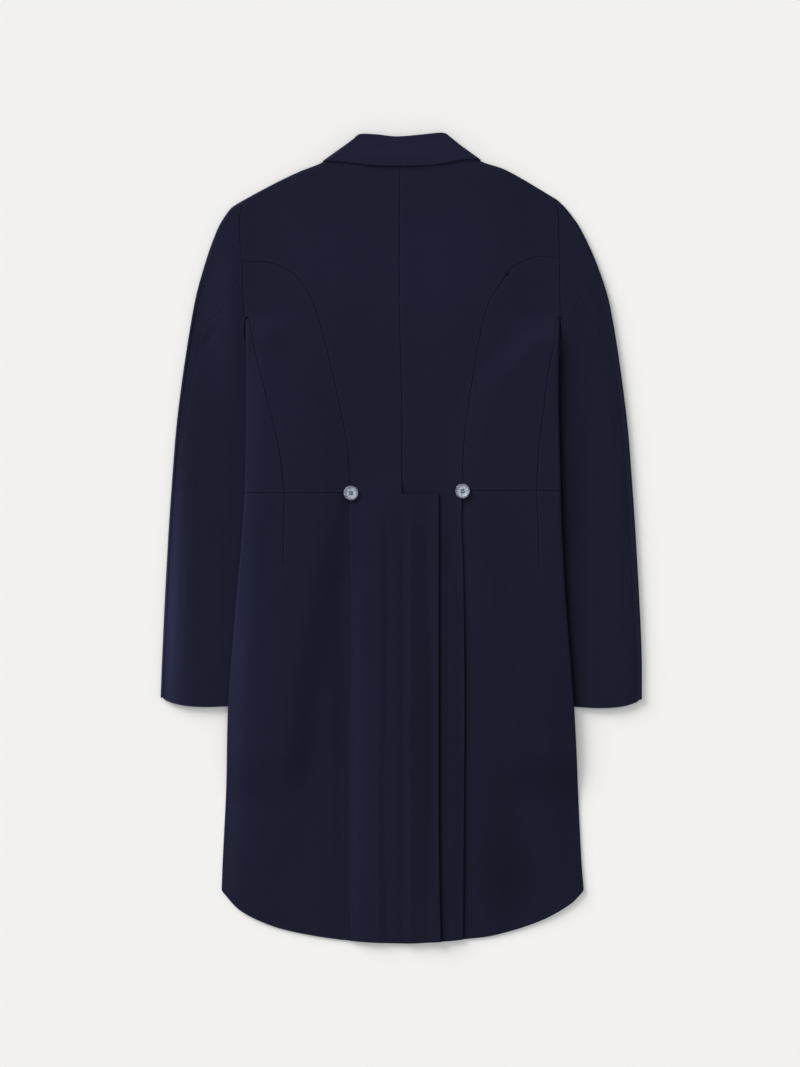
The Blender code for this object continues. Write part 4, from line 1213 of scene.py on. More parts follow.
def sleeve_rings(side):
    """Each ring's upper and lower points from the outer fold in, and its folds' columns."""
    turn = sign(side)
    arm = armhole(side) + (turn * SEAM_GAP / 3, 0)
    hind_at, fore_at = ARMHOLE_HIND * FINE, ARMHOLE_FORE * FINE
    outer_path = drawn(SLEEVE_OUTER, SLEEVE_SAMPLES, side)
    inner_path = drawn(SLEEVE_INNER, SLEEVE_SAMPLES, side)
    outer_out = normals(outer_path, turn)
    inner_out = normals(inner_path, -turn)
    shoulder_out = shoulder_base(side)[1][-1]
    hind = drawn(HINDARM_SEAM, SLEEVE_SAMPLES, side)
    steps, run = measured(arm)
    first = run / steps.sum()
    arm_high = top_height(arm[:, 0], arm[:, 1])
    arm_low = under_height(arm[:, 0], arm[:, 1], side)
    straight = arm[0] + (arm[-1] - arm[0]) * first[:, None]
    shoulder_edge = points_of(ARMHOLE, side)[0]
    rings = []
    for t in spread(SLEEVE_RINGS) ** RING_CROWD:
        fall = float(ease(t, *ARM_FALL))
        near = float(ease(t, *ARM_ROUND))
        high = SLEEVE_HEIGHT + (arm_high - SLEEVE_HEIGHT) * (1 - fall)
        low = arm_low * (1 - fall)
        at_outer, at_inner = t**OUTER_PACE, t**INNER_PACE
        outer_turn = unit(shoulder_out * (1 - near) + at_share(outer_out, at_outer) * near)
        inner_turn = unit(at_share(inner_out, at_inner))
        outer_edge = at_share(outer_path, at_outer) if t else shoulder_edge
        start = outer_edge - outer_turn * (high[0] - low[0]) / 2
        end = at_share(inner_path, at_inner) - inner_turn * near * (high[-1] - low[-1]) / 2
        if t == 0:
            start, end = arm[0], arm[-1]
        share = max(hindarm_share(start, end, hind), LEAST_SHARE) if t > HIND_FROM else first[hind_at]
        lower = first[fore_at] + (FORE_SHARE - first[fore_at]) * near
        upper_shares = np.where(
            first <= first[hind_at],
            share * first / first[hind_at],
            share + (1 - share) * (first - first[hind_at]) / (1 - first[hind_at]),
        )
        past = (first - first[fore_at]) / (1 - first[fore_at])
        lower_shares = np.where(
            first <= first[fore_at], lower * first / first[fore_at], lower + (1 - lower) * past
        )
        rows = []
        for shares in (upper_shares, lower_shares):
            line = start + (end - start) * shares[:, None]
            line = line + (arm - straight) * (1 - t) ** 4
            bow = np.sin(math.pi * shares**BOW_MIDDLE) * float(ease(t, *BOW_ALONG))
            line[:, 1] -= CUFF_BOW * bow
            rows.append(line)
        outer_fold = fold(start[None], outer_turn[None], high[:1], low[:1])[0]
        inner_fold = fold(end[None], inner_turn[None], high[-1:], low[-1:])[0]
        inner_fold[:, :2] = end + (inner_fold[:, :2] - end) * near
        relief = sleeve_relief(rows[0][:, 0], rows[0][:, 1], side) * near
        upper = np.column_stack([rows[0], high + relief])
        under = np.column_stack([rows[1], low])
        rings.append((upper, outer_fold, under, inner_fold))
    return rings


def sleeve(side):
    """The top sleeve and the under sleeve, which meet at the hindarm and forearm seams."""
    top_rows, under_rows = [], []
    hind_at, fore_at = ARMHOLE_HIND * FINE, ARMHOLE_FORE * FINE
    for upper, outer_fold, lower, inner_fold in sleeve_rings(side):
        outer_part = np.vstack([upper[hind_at::-1], outer_fold, lower[: fore_at + 1]])
        inner_part = np.vstack([upper[hind_at:], inner_fold, lower[: fore_at - 1 : -1]])
        top_rows.append(evened(outer_part, SLEEVE_ROUND))
        under_rows.append(evened(inner_part, SLEEVE_ROUND))
    grain = sign(side) * SLEEVE_GRAIN
    cloth_piece("top_sleeve_" + side, np.stack(top_rows), grain, sharp=SLEEVE_SHARP)
    cloth_piece("under_sleeve_" + side, np.stack(under_rows), grain, sharp=SLEEVE_SHARP)


def lapel(side):
    """The front's turned part, from its seam over the roll to its edge."""
    turn = sign(side)
    roll = along(roll_line(side), LAPEL_STEPS + 1)
    level = under_height(roll[:, 0], roll[:, 1], side)
    arc = fold(roll, [-turn, 0.0], level + CLOTH, level - LAPEL_ROOM)
    joined = roll + (turn * TURN_IN, 0)
    start = np.stack(
        [
            np.column_stack([joined, under_height(joined[:, 0], joined[:, 1], side) + CLOTH]),
            np.column_stack([roll, level + CLOTH]),
        ],
        axis=1,
    )
    edge = drawn(LAPEL_EDGE, len(roll), side)
    notch = np.array([turn * LAPEL_NOTCH[0], LAPEL_NOTCH[1]])
    inner = np.linspace(roll[0], notch, 3 * LAPEL_ACROSS + 1)
    top = np.vstack([inner, np.linspace(notch, edge[0], 2 * LAPEL_ACROSS + 1)[1:]])
    bottom = np.linspace(roll[-1], edge[-1], len(top))
    plan = coons(top, bottom, roll, edge)
    flat = raised(plan, lambda x, y: under_height(x, y, side) - LAPEL_ROOM)
    grid = np.concatenate([start, arc, flat], axis=1)
    cloth_piece("lapel_" + side, grid)


def collar():
    """The leaf, its roll and the stand, from one front end over the back to the other."""
    roll_radius = (LAYER + CLOTH) / 2
    deep = 2 * roll_radius
    rows = [(STAND_SHARE * share, 0, deep) for share in np.linspace(1, 0, 2 * FINE + 1)]
    for step in range(FOLD_STEPS - 1, 0, -1):
        turn = math.pi * step / FOLD_STEPS
        rows.append((0, roll_radius * math.sin(turn), roll_radius * (1 - math.cos(turn))))
    rows += [(share, 0, 0) for share in spread(3 * FINE + 1)]
    along_leaf, beyond, inside = np.array(rows).T
    roll, edge = points_of(ROLL_TOP), points_of(LEAF_EDGE)
    roll_fine, edge_fine = (drawn(rows_of, SLEEVE_SAMPLES) for rows_of in (ROLL_TOP, LEAF_EDGE))
    ends = []
    for side in SIDES:
        turn = sign(side)
        last = 0 if side == "left" else -1
        corner, tip = roll[last] - (0, roll_radius), edge[last]
        radius = (top_height(*tip) + LAYER) / 2
        corner, tip = corner - (turn * radius, 0), tip - (turn * radius, 0)
        roll_slump = np.interp(corner[0], roll_fine[:, 0], roll_fine[:, 1]) - roll[last][1]
        edge_slump = np.interp(tip[0], edge_fine[:, 0], edge_fine[:, 1]) - edge[last][1]
        corner, tip = corner + (0, roll_slump), tip + (0, edge_slump)
        slump = roll_slump + (edge_slump - roll_slump) * along_leaf
        front_roll = np.array([turn * COLLAR_FRONT_ROLL[0], COLLAR_FRONT_ROLL[1]])
        front_edge = np.array([turn * COLLAR_FRONT_EDGE[0], COLLAR_FRONT_EDGE[1]])
        near = corner + (tip - corner) * along_leaf[:, None]
        part = []
        for share in np.linspace(1, 0, 3 * FINE + 1):
            taper = np.where(inside > 1.5 * roll_radius, 1 - STAND_TAPER * share, 1)
            far = front_roll + (front_edge - front_roll) * (along_leaf * taper)[:, None]
            lean = unit([-turn * share, 1 - share])
            plan = near + (far - near) * share + lean * beyond[:, None]
            part.append(np.column_stack([plan, inside]))
        for step in range(2 * FOLD_STEPS - 1, 0, -1):
            angle = math.pi * step / (2 * FOLD_STEPS)
            x = near[:, 0] + turn * (radius - inside) * math.sin(angle)
            z = radius + (radius - inside) * math.cos(angle)
            part.append(np.column_stack([x, near[:, 1] + beyond - slump * math.sin(angle), z]))
        ends.append((part, corner, tip))
    (left, left_corner, left_tip), (right, right_corner, right_tip) = ends
    middle = []
    for share in spread(COLLAR_STEPS):
        roll_x = left_corner[0] + (right_corner[0] - left_corner[0]) * share
        edge_x = left_tip[0] + (right_tip[0] - left_tip[0]) * share
        roll_y = np.interp(roll_x, roll_fine[:, 0], roll_fine[:, 1]) - roll_radius
        start = np.array([roll_x, roll_y])
        finish = np.array([edge_x, np.interp(edge_x, edge_fine[:, 0], edge_fine[:, 1])])
        plan = start + (finish - start) * along_leaf[:, None]
        plan[:, 1] += beyond
        middle.append(np.column_stack([plan, top_height(*plan.T) + LAYER - inside]))
    grid = np.array(left + middle + right[::-1]).transpose(1, 0, 2)
    cloth_piece("collar", grid, first_up=False)


def node_group(name, inputs, outputs):
    """An empty shader node group with named sockets, and its two end nodes."""
    group = bpy.data.node_groups.new(name, "ShaderNodeTree")
    for label, value in inputs.items():
        kind = "NodeSocketVector" if value is None else "NodeSocketFloat"
        socket = group.interface.new_socket(label, in_out="INPUT", socket_type=kind)
        if value is not None:
            socket.default_value = value
    for label in outputs:
        group.interface.new_socket(label, in_out="OUTPUT", socket_type="NodeSocketFloat")
    return group, group.nodes.new("NodeGroupInput"), group.nodes.new("NodeGroupOutput")


def put(node, values):
    """Sets a node's sockets to plain values."""
    for name, value in values.items():
        node.inputs[name].default_value = value


def texture(tree, kind, vector, values):
    """A texture node on a vector, with its sockets' plain values."""
    node = tree.nodes.new("ShaderNodeTex" + kind)
    put(node, values)
    tree.links.new(vector, node.inputs["Vector"])
    return node


def object_place(tree):
    """Where a point is on the object."""
    return tree.nodes.new("ShaderNodeTexCoord").outputs["Object"]


def kept_value(tree, name):
    """The number that the mesh keeps on each point under a name."""
    node = tree.nodes.new("ShaderNodeAttribute")
    node.attribute_name = name
    return node.outputs["Fac"]


def new_material(name):
    """A new material, its node tree and its shader."""
    made = bpy.data.materials.new(name)
    made.use_nodes = True
    return made, made.node_tree, made.node_tree.nodes["Principled BSDF"]


def maths(tree, operation, first, second=None, third=None):
    """A Math node on sockets or numbers, and its result."""
    node = tree.nodes.new("ShaderNodeMath")
    node.operation = operation
    for place, value in enumerate((first, second, third)):
        if value is None:
            continue
        if isinstance(value, (int, float)):
            node.inputs[place].default_value = value
        else:
            tree.links.new(value, node.inputs[place])
    return node.outputs[0]


def weave_group():
    """Plain weave: crossing threads, each with its own slubs, as a height and a thread mask."""
    if "Plain weave" in bpy.data.node_groups:
        return bpy.data.node_groups["Plain weave"]
    sockets = {"Vector": None, "Pitch": 0.0005, "Weft slub": 0.6, "Warp slub": 0.4}
    group, start, end = node_group("Plain weave", sockets, ("Thread", "Height"))
    split = group.nodes.new("ShaderNodeSeparateXYZ")
    group.links.new(start.outputs["Vector"], split.inputs[0])
    turns = []
    for axis in ("X", "Y"):
        along_axis = maths(group, "DIVIDE", split.outputs[axis], start.outputs["Pitch"])
        turns.append(maths(group, "SINE", maths(group, "MULTIPLY", along_axis, math.pi)))
    crossing = maths(group, "ABSOLUTE", maths(group, "MULTIPLY", *turns))
    masks = []
    for label, stretch in (("Weft slub", WEFT_STRETCH), ("Warp slub", WARP_STRETCH)):
        scaled = group.nodes.new("ShaderNodeVectorMath")
        scaled.operation = "MULTIPLY"
        scaled.inputs[1].default_value = stretch
        group.links.new(start.outputs["Vector"], scaled.inputs[0])
        noise = texture(group, "Noise", scaled.outputs[0], {"Scale": 1.0, "Detail": 2.0})
        centred = maths(group, "SUBTRACT", noise.outputs["Fac"], 0.5)
        masks.append(maths(group, "MULTIPLY", centred, start.outputs[label]))
    both = maths(group, "ADD", *masks)
    thread = maths(group, "ADD", both, 0.5)
    height = maths(group, "MULTIPLY_ADD", both, 0.8, crossing)
    group.links.new(thread, end.inputs["Thread"])
    group.links.new(height, end.inputs["Height"])
    return group


def pressed_group():
    """Pressing's shine where an iron has been along an edge, and painted shade down in a seam."""
    if "Pressed shine and painted seam shade" in bpy.data.node_groups:
        return bpy.data.node_groups["Pressed shine and painted seam shade"]
    group, start, end = node_group("Pressed shine and painted seam shade", {"Shine": 0.12, "Shade": 0.5}, ("Lighter", "Darker"))
    near = kept_value(group, "pressed")
    uneven = texture(group, "Noise", object_place(group), {"Scale": 45.0})
    band = maths(group, "MULTIPLY", near, uneven.outputs["Fac"])
    lighter = maths(group, "MULTIPLY", band, start.outputs["Shine"])
    # Painted shade: darkest right at an edge, down in the seam
    seam = maths(group, "POWER", near, 9.0)
    darker = maths(group, "MULTIPLY", seam, start.outputs["Shade"])
    group.links.new(lighter, end.inputs["Lighter"])
    group.links.new(darker, end.inputs["Darker"])
    return group


def mixed(tree, factor, first, second):
    """A colour Mix node on sockets or colours, and its result."""
    node = tree.nodes.new("ShaderNodeMix")
    node.data_type = "RGBA"
    for socket, value in ((node.inputs[0], factor), (node.inputs[6], first), (node.inputs[7], second)):
        if isinstance(value, (int, float)) or hasattr(value, "__len__"):
            socket.default_value = value
        else:
            tree.links.new(value, socket)
    return node.outputs[2]


def wool():
    """Very dark navy fine wool in a plain weave, matt with a soft sheen, with painted light and shade on
    its tone and painted shade in its seams.
    """
    if "Navy wool" in bpy.data.materials:
        return bpy.data.materials["Navy wool"]
    settings = bpy.context.scene.coat_cloth
    made, tree, shader = new_material("Navy wool")
    threads = tree.nodes.new("ShaderNodeUVMap")
    threads.uv_map = "grain"
    weave = tree.nodes.new("ShaderNodeGroup")
    weave.node_tree = weave_group()
    weave.inputs["Pitch"].default_value = settings.thread_pitch
    tree.links.new(threads.outputs["UV"], weave.inputs["Vector"])
    pressed = tree.nodes.new("ShaderNodeGroup")
    pressed.node_tree = pressed_group()
    cloth = mixed(tree, weave.outputs["Thread"], [*settings.dark, 1], [*settings.light, 1])
    lit = mixed(tree, pressed.outputs["Lighter"], cloth, [*settings.pressed, 1])
    shaded = mixed(tree, pressed.outputs["Darker"], lit, [*settings.seam, 1])
    # Painted light and shade: the kept values scale the cloth's tone up or down
    share = maths(tree, "MAXIMUM", maths(tree, "ADD", kept_value(tree, "painted_light_and_shade"), 1.0), 0.1)
    toned = tree.nodes.new("ShaderNodeVectorMath")
    toned.operation = "SCALE"
    tree.links.new(shaded, toned.inputs[0])
    tree.links.new(share, toned.inputs["Scale"])
    tree.links.new(toned.outputs["Vector"], shader.inputs["Base Color"])
    rough = maths(tree, "MULTIPLY_ADD", weave.outputs["Thread"], -0.25, 0.95)
    rough = maths(tree, "SUBTRACT", rough, pressed.outputs["Lighter"])
    tree.links.new(rough, shader.inputs["Roughness"])
    bump = tree.nodes.new("ShaderNodeBump")
    put(bump, {"Strength": 0.35, "Distance": settings.thread_pitch / 3})
    tree.links.new(weave.outputs["Height"], bump.inputs["Height"])
    tree.links.new(bump.outputs["Normal"], shader.inputs["Normal"])
    put(shader, {"Specular IOR Level": 0.06, "Sheen Weight": settings.sheen, "Sheen Roughness": 0.45})
    shader.inputs["Sheen Tint"].default_value = (*settings.sheen_tint, 1)
    made.diffuse_color = (*settings.dark, 1)
    return made


def button_shell():
    """Polished button horn in mottled grey blue, darker at its rim."""
    if "Mottled button" in bpy.data.materials:
        return bpy.data.materials["Mottled button"]
    settings = bpy.context.scene.coat_buttons
    made, tree, shader = new_material("Mottled button")
    place = object_place(tree)
    cloud = texture(tree, "Noise", place, {"Scale": 520.0, "Detail": 5.0, "Distortion": 1.6})
    fleck = texture(tree, "Voronoi", place, {"Scale": 900.0})
    clouds = tree.nodes.new("ShaderNodeMapRange")
    put(clouds, {"From Min": 0.43, "From Max": 0.56})
    tree.links.new(cloud.outputs["Fac"], clouds.inputs["Value"])
    mottled = mixed(tree, clouds.outputs[0], [*settings.dark, 1], [*settings.pale, 1])
    flecked = maths(tree, "MULTIPLY", fleck.outputs["Distance"], 0.25)
    spotted = mixed(tree, flecked, mottled, [*settings.pale, 1])
    bare = maths(tree, "MULTIPLY_ADD", clouds.outputs[0], -0.45, 1.0)
    ring = maths(tree, "MULTIPLY", kept_value(tree, "rim"), bare)
    ringed = mixed(tree, ring, spotted, [*settings.rim, 1])
    tree.links.new(ringed, shader.inputs["Base Color"])
    rough = maths(tree, "MULTIPLY_ADD", clouds.outputs[0], 0.15, 0.22)
    tree.links.new(rough, shader.inputs["Roughness"])
    put(shader, {"Coat Weight": 0.4, "Coat Roughness": 0.12})
    made.diffuse_color = (*settings.pale, 1)
    return made


def sewing_thread():
    """Twisted grey blue sewing thread."""
    if "Grey blue thread" in bpy.data.materials:
        return bpy.data.materials["Grey blue thread"]
    made, tree, shader = new_material("Grey blue thread")
    twist = texture(tree, "Wave", object_place(tree), {"Scale": 900.0})
    twist.bands_direction = "DIAGONAL"
    colour = mixed(tree, twist.outputs["Fac"], [0.030, 0.035, 0.055, 1], [0.090, 0.100, 0.140, 1])
    tree.links.new(colour, shader.inputs["Base Color"])
    rough = maths(tree, "MULTIPLY_ADD", twist.outputs["Fac"], -0.2, 0.75)
    tree.links.new(rough, shader.inputs["Roughness"])
    made.diffuse_color = (0.060, 0.068, 0.100, 1)
    return made


def stitch_tree():
    """Stitches set along a curve at an even pitch: each is a short bent tube of thread across it."""
    if "Stitches along" in bpy.data.node_groups:
        return bpy.data.node_groups["Stitches along"]
    tree = bpy.data.node_groups.new("Stitches along", "GeometryNodeTree")
    tree.interface.new_socket("Path", in_out="INPUT", socket_type="NodeSocketGeometry")
    for label in ("Pitch", "Length", "Rise", "Thread radius"):
        tree.interface.new_socket(label, in_out="INPUT", socket_type="NodeSocketFloat")
    tree.interface.new_socket("Thread", in_out="INPUT", socket_type="NodeSocketMaterial")
    tree.interface.new_socket("Stitches", in_out="OUTPUT", socket_type="NodeSocketGeometry")
    new, link = tree.nodes.new, tree.links.new
    start, end = new("NodeGroupInput"), new("NodeGroupOutput")
    spaced = new("GeometryNodeResampleCurve")
    spaced.mode = "LENGTH"
    link(start.outputs["Path"], spaced.inputs["Curve"])
    link(start.outputs["Pitch"], spaced.inputs["Length"])
    bent = new("GeometryNodeCurveQuadraticBezier")
    bent.inputs["Resolution"].default_value = 6
    for socket, share in (("Start", -0.5), ("Middle", None), ("End", 0.5)):
        place = new("ShaderNodeCombineXYZ")
        if share is None:
            link(start.outputs["Rise"], place.inputs["Z"])
        else:
            link(maths(tree, "MULTIPLY", start.outputs["Length"], share), place.inputs["X"])
        link(place.outputs[0], bent.inputs[socket])
    ring = new("GeometryNodeCurvePrimitiveCircle")
    ring.inputs["Resolution"].default_value = 6
    link(start.outputs["Thread radius"], ring.inputs["Radius"])
    tube = new("GeometryNodeCurveToMesh")
    tube.inputs["Fill Caps"].default_value = True
    link(bent.outputs["Curve"], tube.inputs["Curve"])
    link(ring.outputs["Curve"], tube.inputs["Profile Curve"])
    heading = new("GeometryNodeInputTangent")
    turned = new("FunctionNodeAlignRotationToVector")
    turned.axis = "Y"
    turned.pivot_axis = "Z"
    link(heading.outputs[0], turned.inputs["Vector"])
    placed = new("GeometryNodeInstanceOnPoints")
    link(spaced.outputs["Curve"], placed.inputs["Points"])
    link(tube.outputs["Mesh"], placed.inputs["Instance"])
    link(turned.outputs["Rotation"], placed.inputs["Rotation"])
    real = new("GeometryNodeRealizeInstances")
    link(placed.outputs["Instances"], real.inputs["Geometry"])
    finished = new("GeometryNodeSetMaterial")
    link(real.outputs["Geometry"], finished.inputs["Geometry"])
    link(start.outputs["Thread"], finished.inputs["Material"])
    link(finished.outputs["Geometry"], end.inputs["Stitches"])
    return tree


def stitched(name, lines, pitch, length, rise, radius, matrix):
    """A mesh of stitches along some lines, made by the stitch tree and then moved to its place."""
    curve = bpy.data.curves.new(name, "CURVE")
    curve.dimensions = "3D"
    for line in lines:
        spline = curve.splines.new("POLY")
        spline.points.add(len(line) - 1)
        for point, place in zip(spline.points, line):
            point.co = (*place, 1)
    holder = new_object(name + "_path", curve)
    tree = stitch_tree()
    nodes = holder.modifiers.new("Stitches", "NODES")
    nodes.node_group = tree
    values = {"Pitch": pitch, "Length": length, "Rise": rise, "Thread radius": radius}
    values["Thread"] = sewing_thread()
    for socket in tree.interface.items_tree:
        if socket.in_out == "INPUT" and socket.name in values:
            nodes[socket.identifier] = values[socket.name]
    mesh = finished_mesh(holder)
    bpy.data.objects.remove(holder, do_unlink=True)
    mesh.transform(matrix)
    mesh.name = name
    mesh.shade_smooth()
    piece = new_object(name, mesh)
    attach(piece, "root")


def button(node, place, normal):
    """A turned button with a sunk middle, a rounded rim and four holes, sewn on with thread."""
    settings = bpy.context.scene.coat_buttons
    radius, height = settings.radius, settings.height
    points = [(out * radius, 0, up * height) for out, up in zip(*BUTTON_PROFILE.values())]
    mesh = bpy.data.meshes.new(node + "_turned")
    mesh.from_pydata(points, [(index, index + 1) for index in range(len(points) - 1)], [])
    made = new_object(node + "_turned", mesh)
    turned = made.modifiers.new("Turned", "SCREW")
    turned.steps = turned.render_steps = 72
    turned.use_merge_vertices = True
    turned.merge_threshold = 0.00002
    cutters = []
    half = settings.holes_apart / 2
    for x, y in ((-half, -half), (-half, half), (half, -half), (half, half)):
        bpy.ops.mesh.primitive_cylinder_add(vertices=24, radius=settings.hole, depth=4 * height)
        cutter = bpy.context.object
        cutter.location = (x, y, height / 2)
        cutters.append(cutter)
        cut = made.modifiers.new("Hole", "BOOLEAN")
        cut.operation = "DIFFERENCE"
        cut.object = cutter
    bpy.context.view_layer.update()
    mesh = finished_mesh(made)
    for spent in (made, *cutters):
        bpy.data.objects.remove(spent, do_unlink=True)
    out = [math.hypot(vertex.co.x, vertex.co.y) / radius for vertex in mesh.vertices]
    keep_on(mesh, "rim", ease(np.array(out), *RIM_ALONG) * settings.rim_strength)
    mesh.shade_smooth()
    mesh.set_sharp_from_angle(angle=BUTTON_SHARP)
    mesh.materials.clear()
    mesh.materials.append(button_shell())
    matrix = Vector(normal).to_track_quat("Z", "Y").to_matrix().to_4x4()
    matrix.translation = Vector(place) + Vector((0, -MIDDLE_Y, 0))
    mesh.transform(matrix)
    mesh.name = node + "_sewn"
    piece = new_object(node + "_sewn", mesh)
    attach(piece, "root")
    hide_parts(node)
    reach = settings.holes_apart + settings.hole
    level = BUTTON_WELL * height
    strands = np.linspace(-settings.hole * 0.55, settings.hole * 0.55, STRANDS)
    lines = []
    for middle in (-half, half):
        lines.append([(middle + strands[0], 0, level), (middle + strands[-1], 0, level)])
    pitch = (strands[-1] - strands[0]) / (STRANDS - 1)
    stitched(node + "_thread", lines, pitch, reach, STITCH_RISE, settings.thread, matrix)


def surface_normal(x, y):
    """Which way the back's surface faces round a place."""
    step = 0.004
    slope_x = (top_height(x + step, y) - top_height(x - step, y)) / (2 * step)
    slope_y = (top_height(x, y + step) - top_height(x, y - step)) / (2 * step)
    return (-float(slope_x), -float(slope_y), 1.0)


def plain_surface(name, colour, roughness):
    """A pale matt surface with a fine paper grain."""
    made, tree, shader = new_material(name)
    grain = texture(tree, "Noise", object_place(tree), {"Scale": 600.0})
    lighter = [min(1.0, part * 1.01) for part in colour]
    tint = mixed(tree, grain.outputs["Fac"], [*colour, 1], [*lighter, 1])
    tree.links.new(tint, shader.inputs["Base Color"])
    put(shader, {"Roughness": roughness, "Specular IOR Level": 0.1})
    return made


def light(name, kind, place, power, colour, **more):
    """A light at a place that looks at the coat's middle."""
    data = bpy.data.lights.new(name, kind)
    data.energy = power
    data.color = colour
    for what, value in more.items():
        setattr(data, what, value)
    made = new_object(name, data)
    made.location = place
    made.rotation_euler = (Vector() - Vector(place)).to_track_quat("-Z", "Y").to_euler()


def a_number(name, about, default):
    """A setting that is a plain number."""
    return FloatProperty(name=name, description=about, default=default)


def a_length(name, about, default):
    """A setting that is a length."""
    return FloatProperty(name=name, description=about, default=default, unit="LENGTH")


def a_colour(name, about, default):
    """A setting that is a colour."""
    return FloatVectorProperty(name=name, description=about, default=default, subtype="COLOR")


class CoatCloth(bpy.types.PropertyGroup):
    """The coat's cloth"""

    thickness: a_length("Thickness", "Outer cloth, canvas and lining together", CLOTH)
    seam_gap: a_length("Seam", "Space between two pieces at a seam", SEAM_GAP / 3)
    edge_depth: a_length("Edge depth", "How deep the cloth rolls at an edge", 0.0006)
    edge_width: a_length("Edge width", "How far in from an edge the roll starts", 0.0014)
    thread_pitch: a_length("Threads", "From one thread of the weave to the next", 0.0005)
    dark: a_colour("Dark thread", "The darker threads", (0.0074, 0.0085, 0.0204))
    light: a_colour("Light thread", "The lighter threads", (0.0116, 0.0134, 0.0318))
    pressed: a_colour("Pressed", "Cloth shined by the iron", (0.0160, 0.0180, 0.0400))
    # Painted shade: the colour that cloth is painted down in a seam
    seam: a_colour("Seam shade", "Cloth down in a seam", (0.0020, 0.0022, 0.0050))
    sheen: a_number("Sheen", "Strength of the nap's soft shine", 0.01)
    sheen_tint: a_colour("Sheen colour", "Colour of the soft shine", (0.60, 0.68, 1.0))


class CoatButtons(bpy.types.PropertyGroup):
    """The coat's buttons"""

    radius: a_length("Radius", "Radius of a button", 0.0095)
    height: a_length("Height", "Thickness of a button", 0.0026)
    hole: a_length("Hole", "Radius of a thread hole", 0.00105)
    holes_apart: a_length("Holes apart", "From one hole to the next", 0.0030)
    thread: a_length("Thread", "Radius of the thread", 0.00016)
    rim_strength: a_number("Rim", "Strength of the rim's darker ring", 0.95)
    pale: a_colour("Pale", "The paler patches", (0.48, 0.53, 0.66))
    dark: a_colour("Dark", "The darker patches", (0.085, 0.10, 0.15))
    rim: a_colour("Rim colour", "The rim", (0.030, 0.036, 0.055))


class CoatStage(bpy.types.PropertyGroup):
    """Floor, lights and camera"""

    floor: a_colour("Floor", "The floor", (0.88, 0.88, 0.875))
    key: a_number("Key light", "Power of the light from the upper left", 3.15)
    key_angle: FloatProperty(
        name="Key width", description="How wide the key light looks", default=0.55, subtype="ANGLE"
    )
    fill: a_number("Fill light", "Power of the light from above", 42.0)
    world: a_number("Surround", "Strength of the light from all round", 0.44)
    distance: a_length("Camera height", "Camera above the floor", 3.2)
    pixel: a_length("Pixel", "Size of one of the photo's pixels at the coat", 0.0012935)


class BothSides:
    """Makes a kind of piece on the left and on the right"""

    def execute(self, context):
        for side in SIDES:
            self.make(side)
        return {"FINISHED"}


class COAT_OT_backs(BothSides, bpy.types.Operator):
    """Make the two halves of the back, each with its tail"""

    bl_idname = "coat.backs"
    bl_label = "Backs"
    make = staticmethod(back)


class COAT_OT_side_bodies(BothSides, bpy.types.Operator):
    """Make the two side bodies"""

    bl_idname = "coat.side_bodies"
    bl_label = "Side bodies"
    make = staticmethod(side_body)


class COAT_OT_foreparts(BothSides, bpy.types.Operator):
    """Make the two foreparts, which lie under the back"""

    bl_idname = "coat.foreparts"
    bl_label = "Foreparts"
    make = staticmethod(forepart)


class COAT_OT_skirts(BothSides, bpy.types.Operator):
    """Make the two skirts, folded under at the sides"""

    bl_idname = "coat.skirts"
    bl_label = "Skirts"
    make = staticmethod(skirt)


class COAT_OT_sleeves(BothSides, bpy.types.Operator):
    """Make the two-piece sleeves"""

    bl_idname = "coat.sleeves"
    bl_label = "Sleeves"
    make = staticmethod(sleeve)


class COAT_OT_collar(bpy.types.Operator):
    """Make the collar and the lapels"""

    bl_idname = "coat.collar"
    bl_label = "Collar and lapels"

    def execute(self, context):
        collar()
        for side in SIDES:
            lapel(side)
        return {"FINISHED"}


class COAT_OT_buttons(bpy.types.Operator):
    """Make the two waist buttons and the front button, each sewn on"""

    bl_idname = "coat.buttons"
    bl_label = "Buttons"

    def execute(self, context):
        for side in SIDES:
            x, y = points_of(TAIL_EDGE, side)[0]
            x = x - sign(side) * BUTTON_INWARD
            place = (x, y, float(top_height(x, y)) + SEAM_GAP + BUTTON_SEAT)
            button("waist_button_" + side, place, surface_normal(x, y))
        level = context.scene.coat_buttons.height + SEAM_GAP
        button("front_button", (0, FRONT_BUTTON_Y, level), (0, 0, -1))
        return {"FINISHED"}


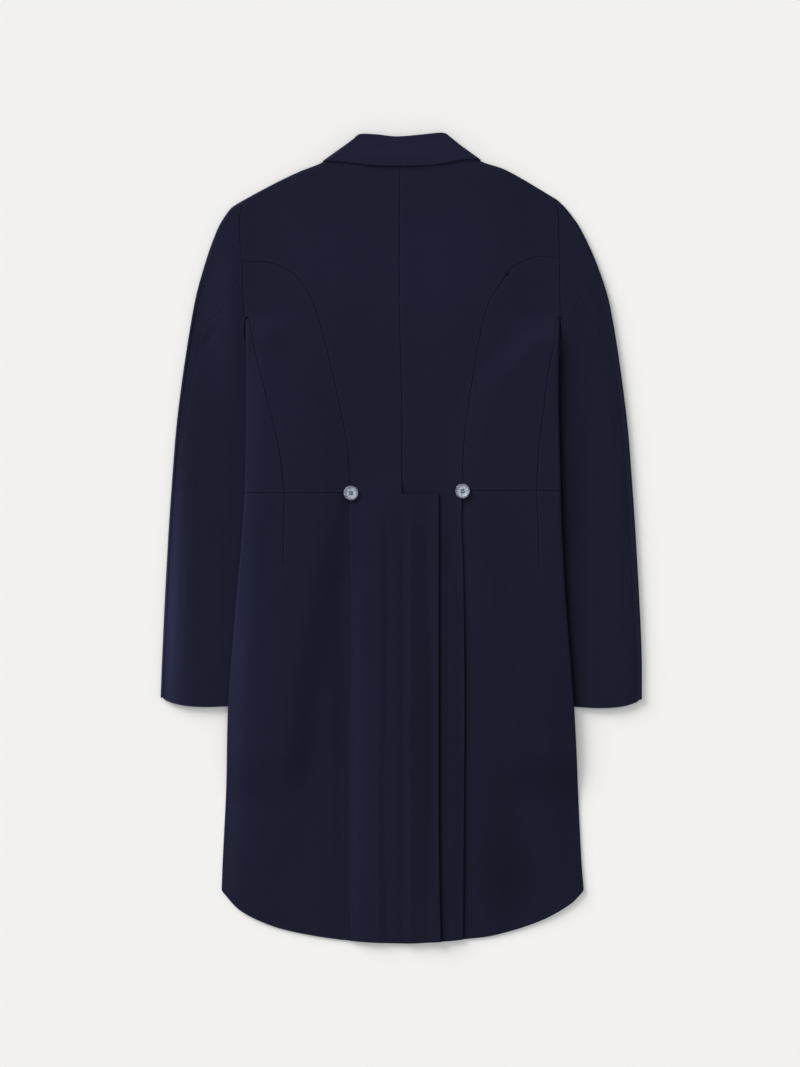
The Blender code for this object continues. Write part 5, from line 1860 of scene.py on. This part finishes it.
class COAT_OT_stage(bpy.types.Operator):
    """Lay the floor, hang the lights and set the camera straight above"""

    bl_idname = "coat.stage"
    bl_label = "Stage"

    def execute(self, context):
        settings = context.scene.coat_stage
        floor_mesh = bpy.data.meshes.new("floor")
        corners = [(FLOOR_HALF * x, FLOOR_HALF * y, 0) for x, y in ((-1, -1), (1, -1), (1, 1), (-1, 1))]
        floor_mesh.from_pydata(corners, [], [(0, 1, 2, 3)])
        floor_mesh.materials.append(plain_surface("Pale floor", settings.floor, 0.9))
        new_object("floor", floor_mesh)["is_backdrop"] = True
        light("Key", "SUN", KEY_PLACE, settings.key, (1.0, 0.98, 0.96), angle=settings.key_angle)
        light("Fill", "AREA", FILL_PLACE, settings.fill, (1.0, 1.0, 1.0), shape="SQUARE", size=FILL_SIZE)
        world = bpy.data.worlds.new("Pale surround")
        world.use_nodes = True
        surround = world.node_tree.nodes["Background"]
        surround.inputs["Color"].default_value = (1, 1, 1, 1)
        surround.inputs["Strength"].default_value = settings.world
        context.scene.world = world
        context.scene.view_settings.view_transform = "Standard"
        lens = bpy.data.cameras.new("Camera")
        lens.sensor_fit = "VERTICAL"
        lens.sensor_height = SENSOR_MM
        seen = PHOTO_HIGH * settings.pixel
        lens.lens = SENSOR_MM * (settings.distance - PLANE_LEVEL) / seen
        camera = new_object("Camera", lens)
        x = (PHOTO_WIDE / 2 - PHOTO_MIDDLE[0]) * settings.pixel
        y = (PHOTO_MIDDLE[1] - PHOTO_HIGH / 2) * settings.pixel - MIDDLE_Y
        camera.location = (x, y, settings.distance)
        context.scene.camera = camera
        return {"FINISHED"}


class COAT_PT_looks(bpy.types.Panel):
    """The coat's sizes, colours and pieces"""

    bl_label = "Coat"
    bl_space_type = "VIEW_3D"
    bl_region_type = "UI"
    bl_category = "Coat"

    def draw(self, context):
        layout = self.layout
        for settings in (context.scene.coat_cloth, context.scene.coat_buttons, context.scene.coat_stage):
            box = layout.box()
            for name in settings.__annotations__:
                box.prop(settings, name)
        for made in OPERATORS:
            layout.operator(made.bl_idname)


SETTINGS = {"coat_cloth": CoatCloth, "coat_buttons": CoatButtons, "coat_stage": CoatStage}
OPERATORS = (
    COAT_OT_stage,
    COAT_OT_backs,
    COAT_OT_side_bodies,
    COAT_OT_foreparts,
    COAT_OT_skirts,
    COAT_OT_sleeves,
    COAT_OT_collar,
    COAT_OT_buttons,
)


def register():
    for made in (*SETTINGS.values(), *OPERATORS, COAT_PT_looks):
        bpy.utils.register_class(made)
    for name, group in SETTINGS.items():
        setattr(bpy.types.Scene, name, PointerProperty(type=group))


def unregister():
    for name in SETTINGS:
        delattr(bpy.types.Scene, name)
    for made in reversed((*SETTINGS.values(), *OPERATORS, COAT_PT_looks)):
        bpy.utils.unregister_class(made)


def main():
    register()
    bpy.ops.coat.stage()
    bpy.ops.coat.backs()
    bpy.ops.coat.side_bodies()
    bpy.ops.coat.foreparts()
    bpy.ops.coat.skirts()
    bpy.ops.coat.sleeves()
    bpy.ops.coat.collar()
    bpy.ops.coat.buttons()
    boxes = {"cad": CAD_BOX, "visual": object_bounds()}
    boxes = {name: [list(map(float, corner)) for corner in box] for name, box in boxes.items()}


if __name__ == "__main__":
    main()
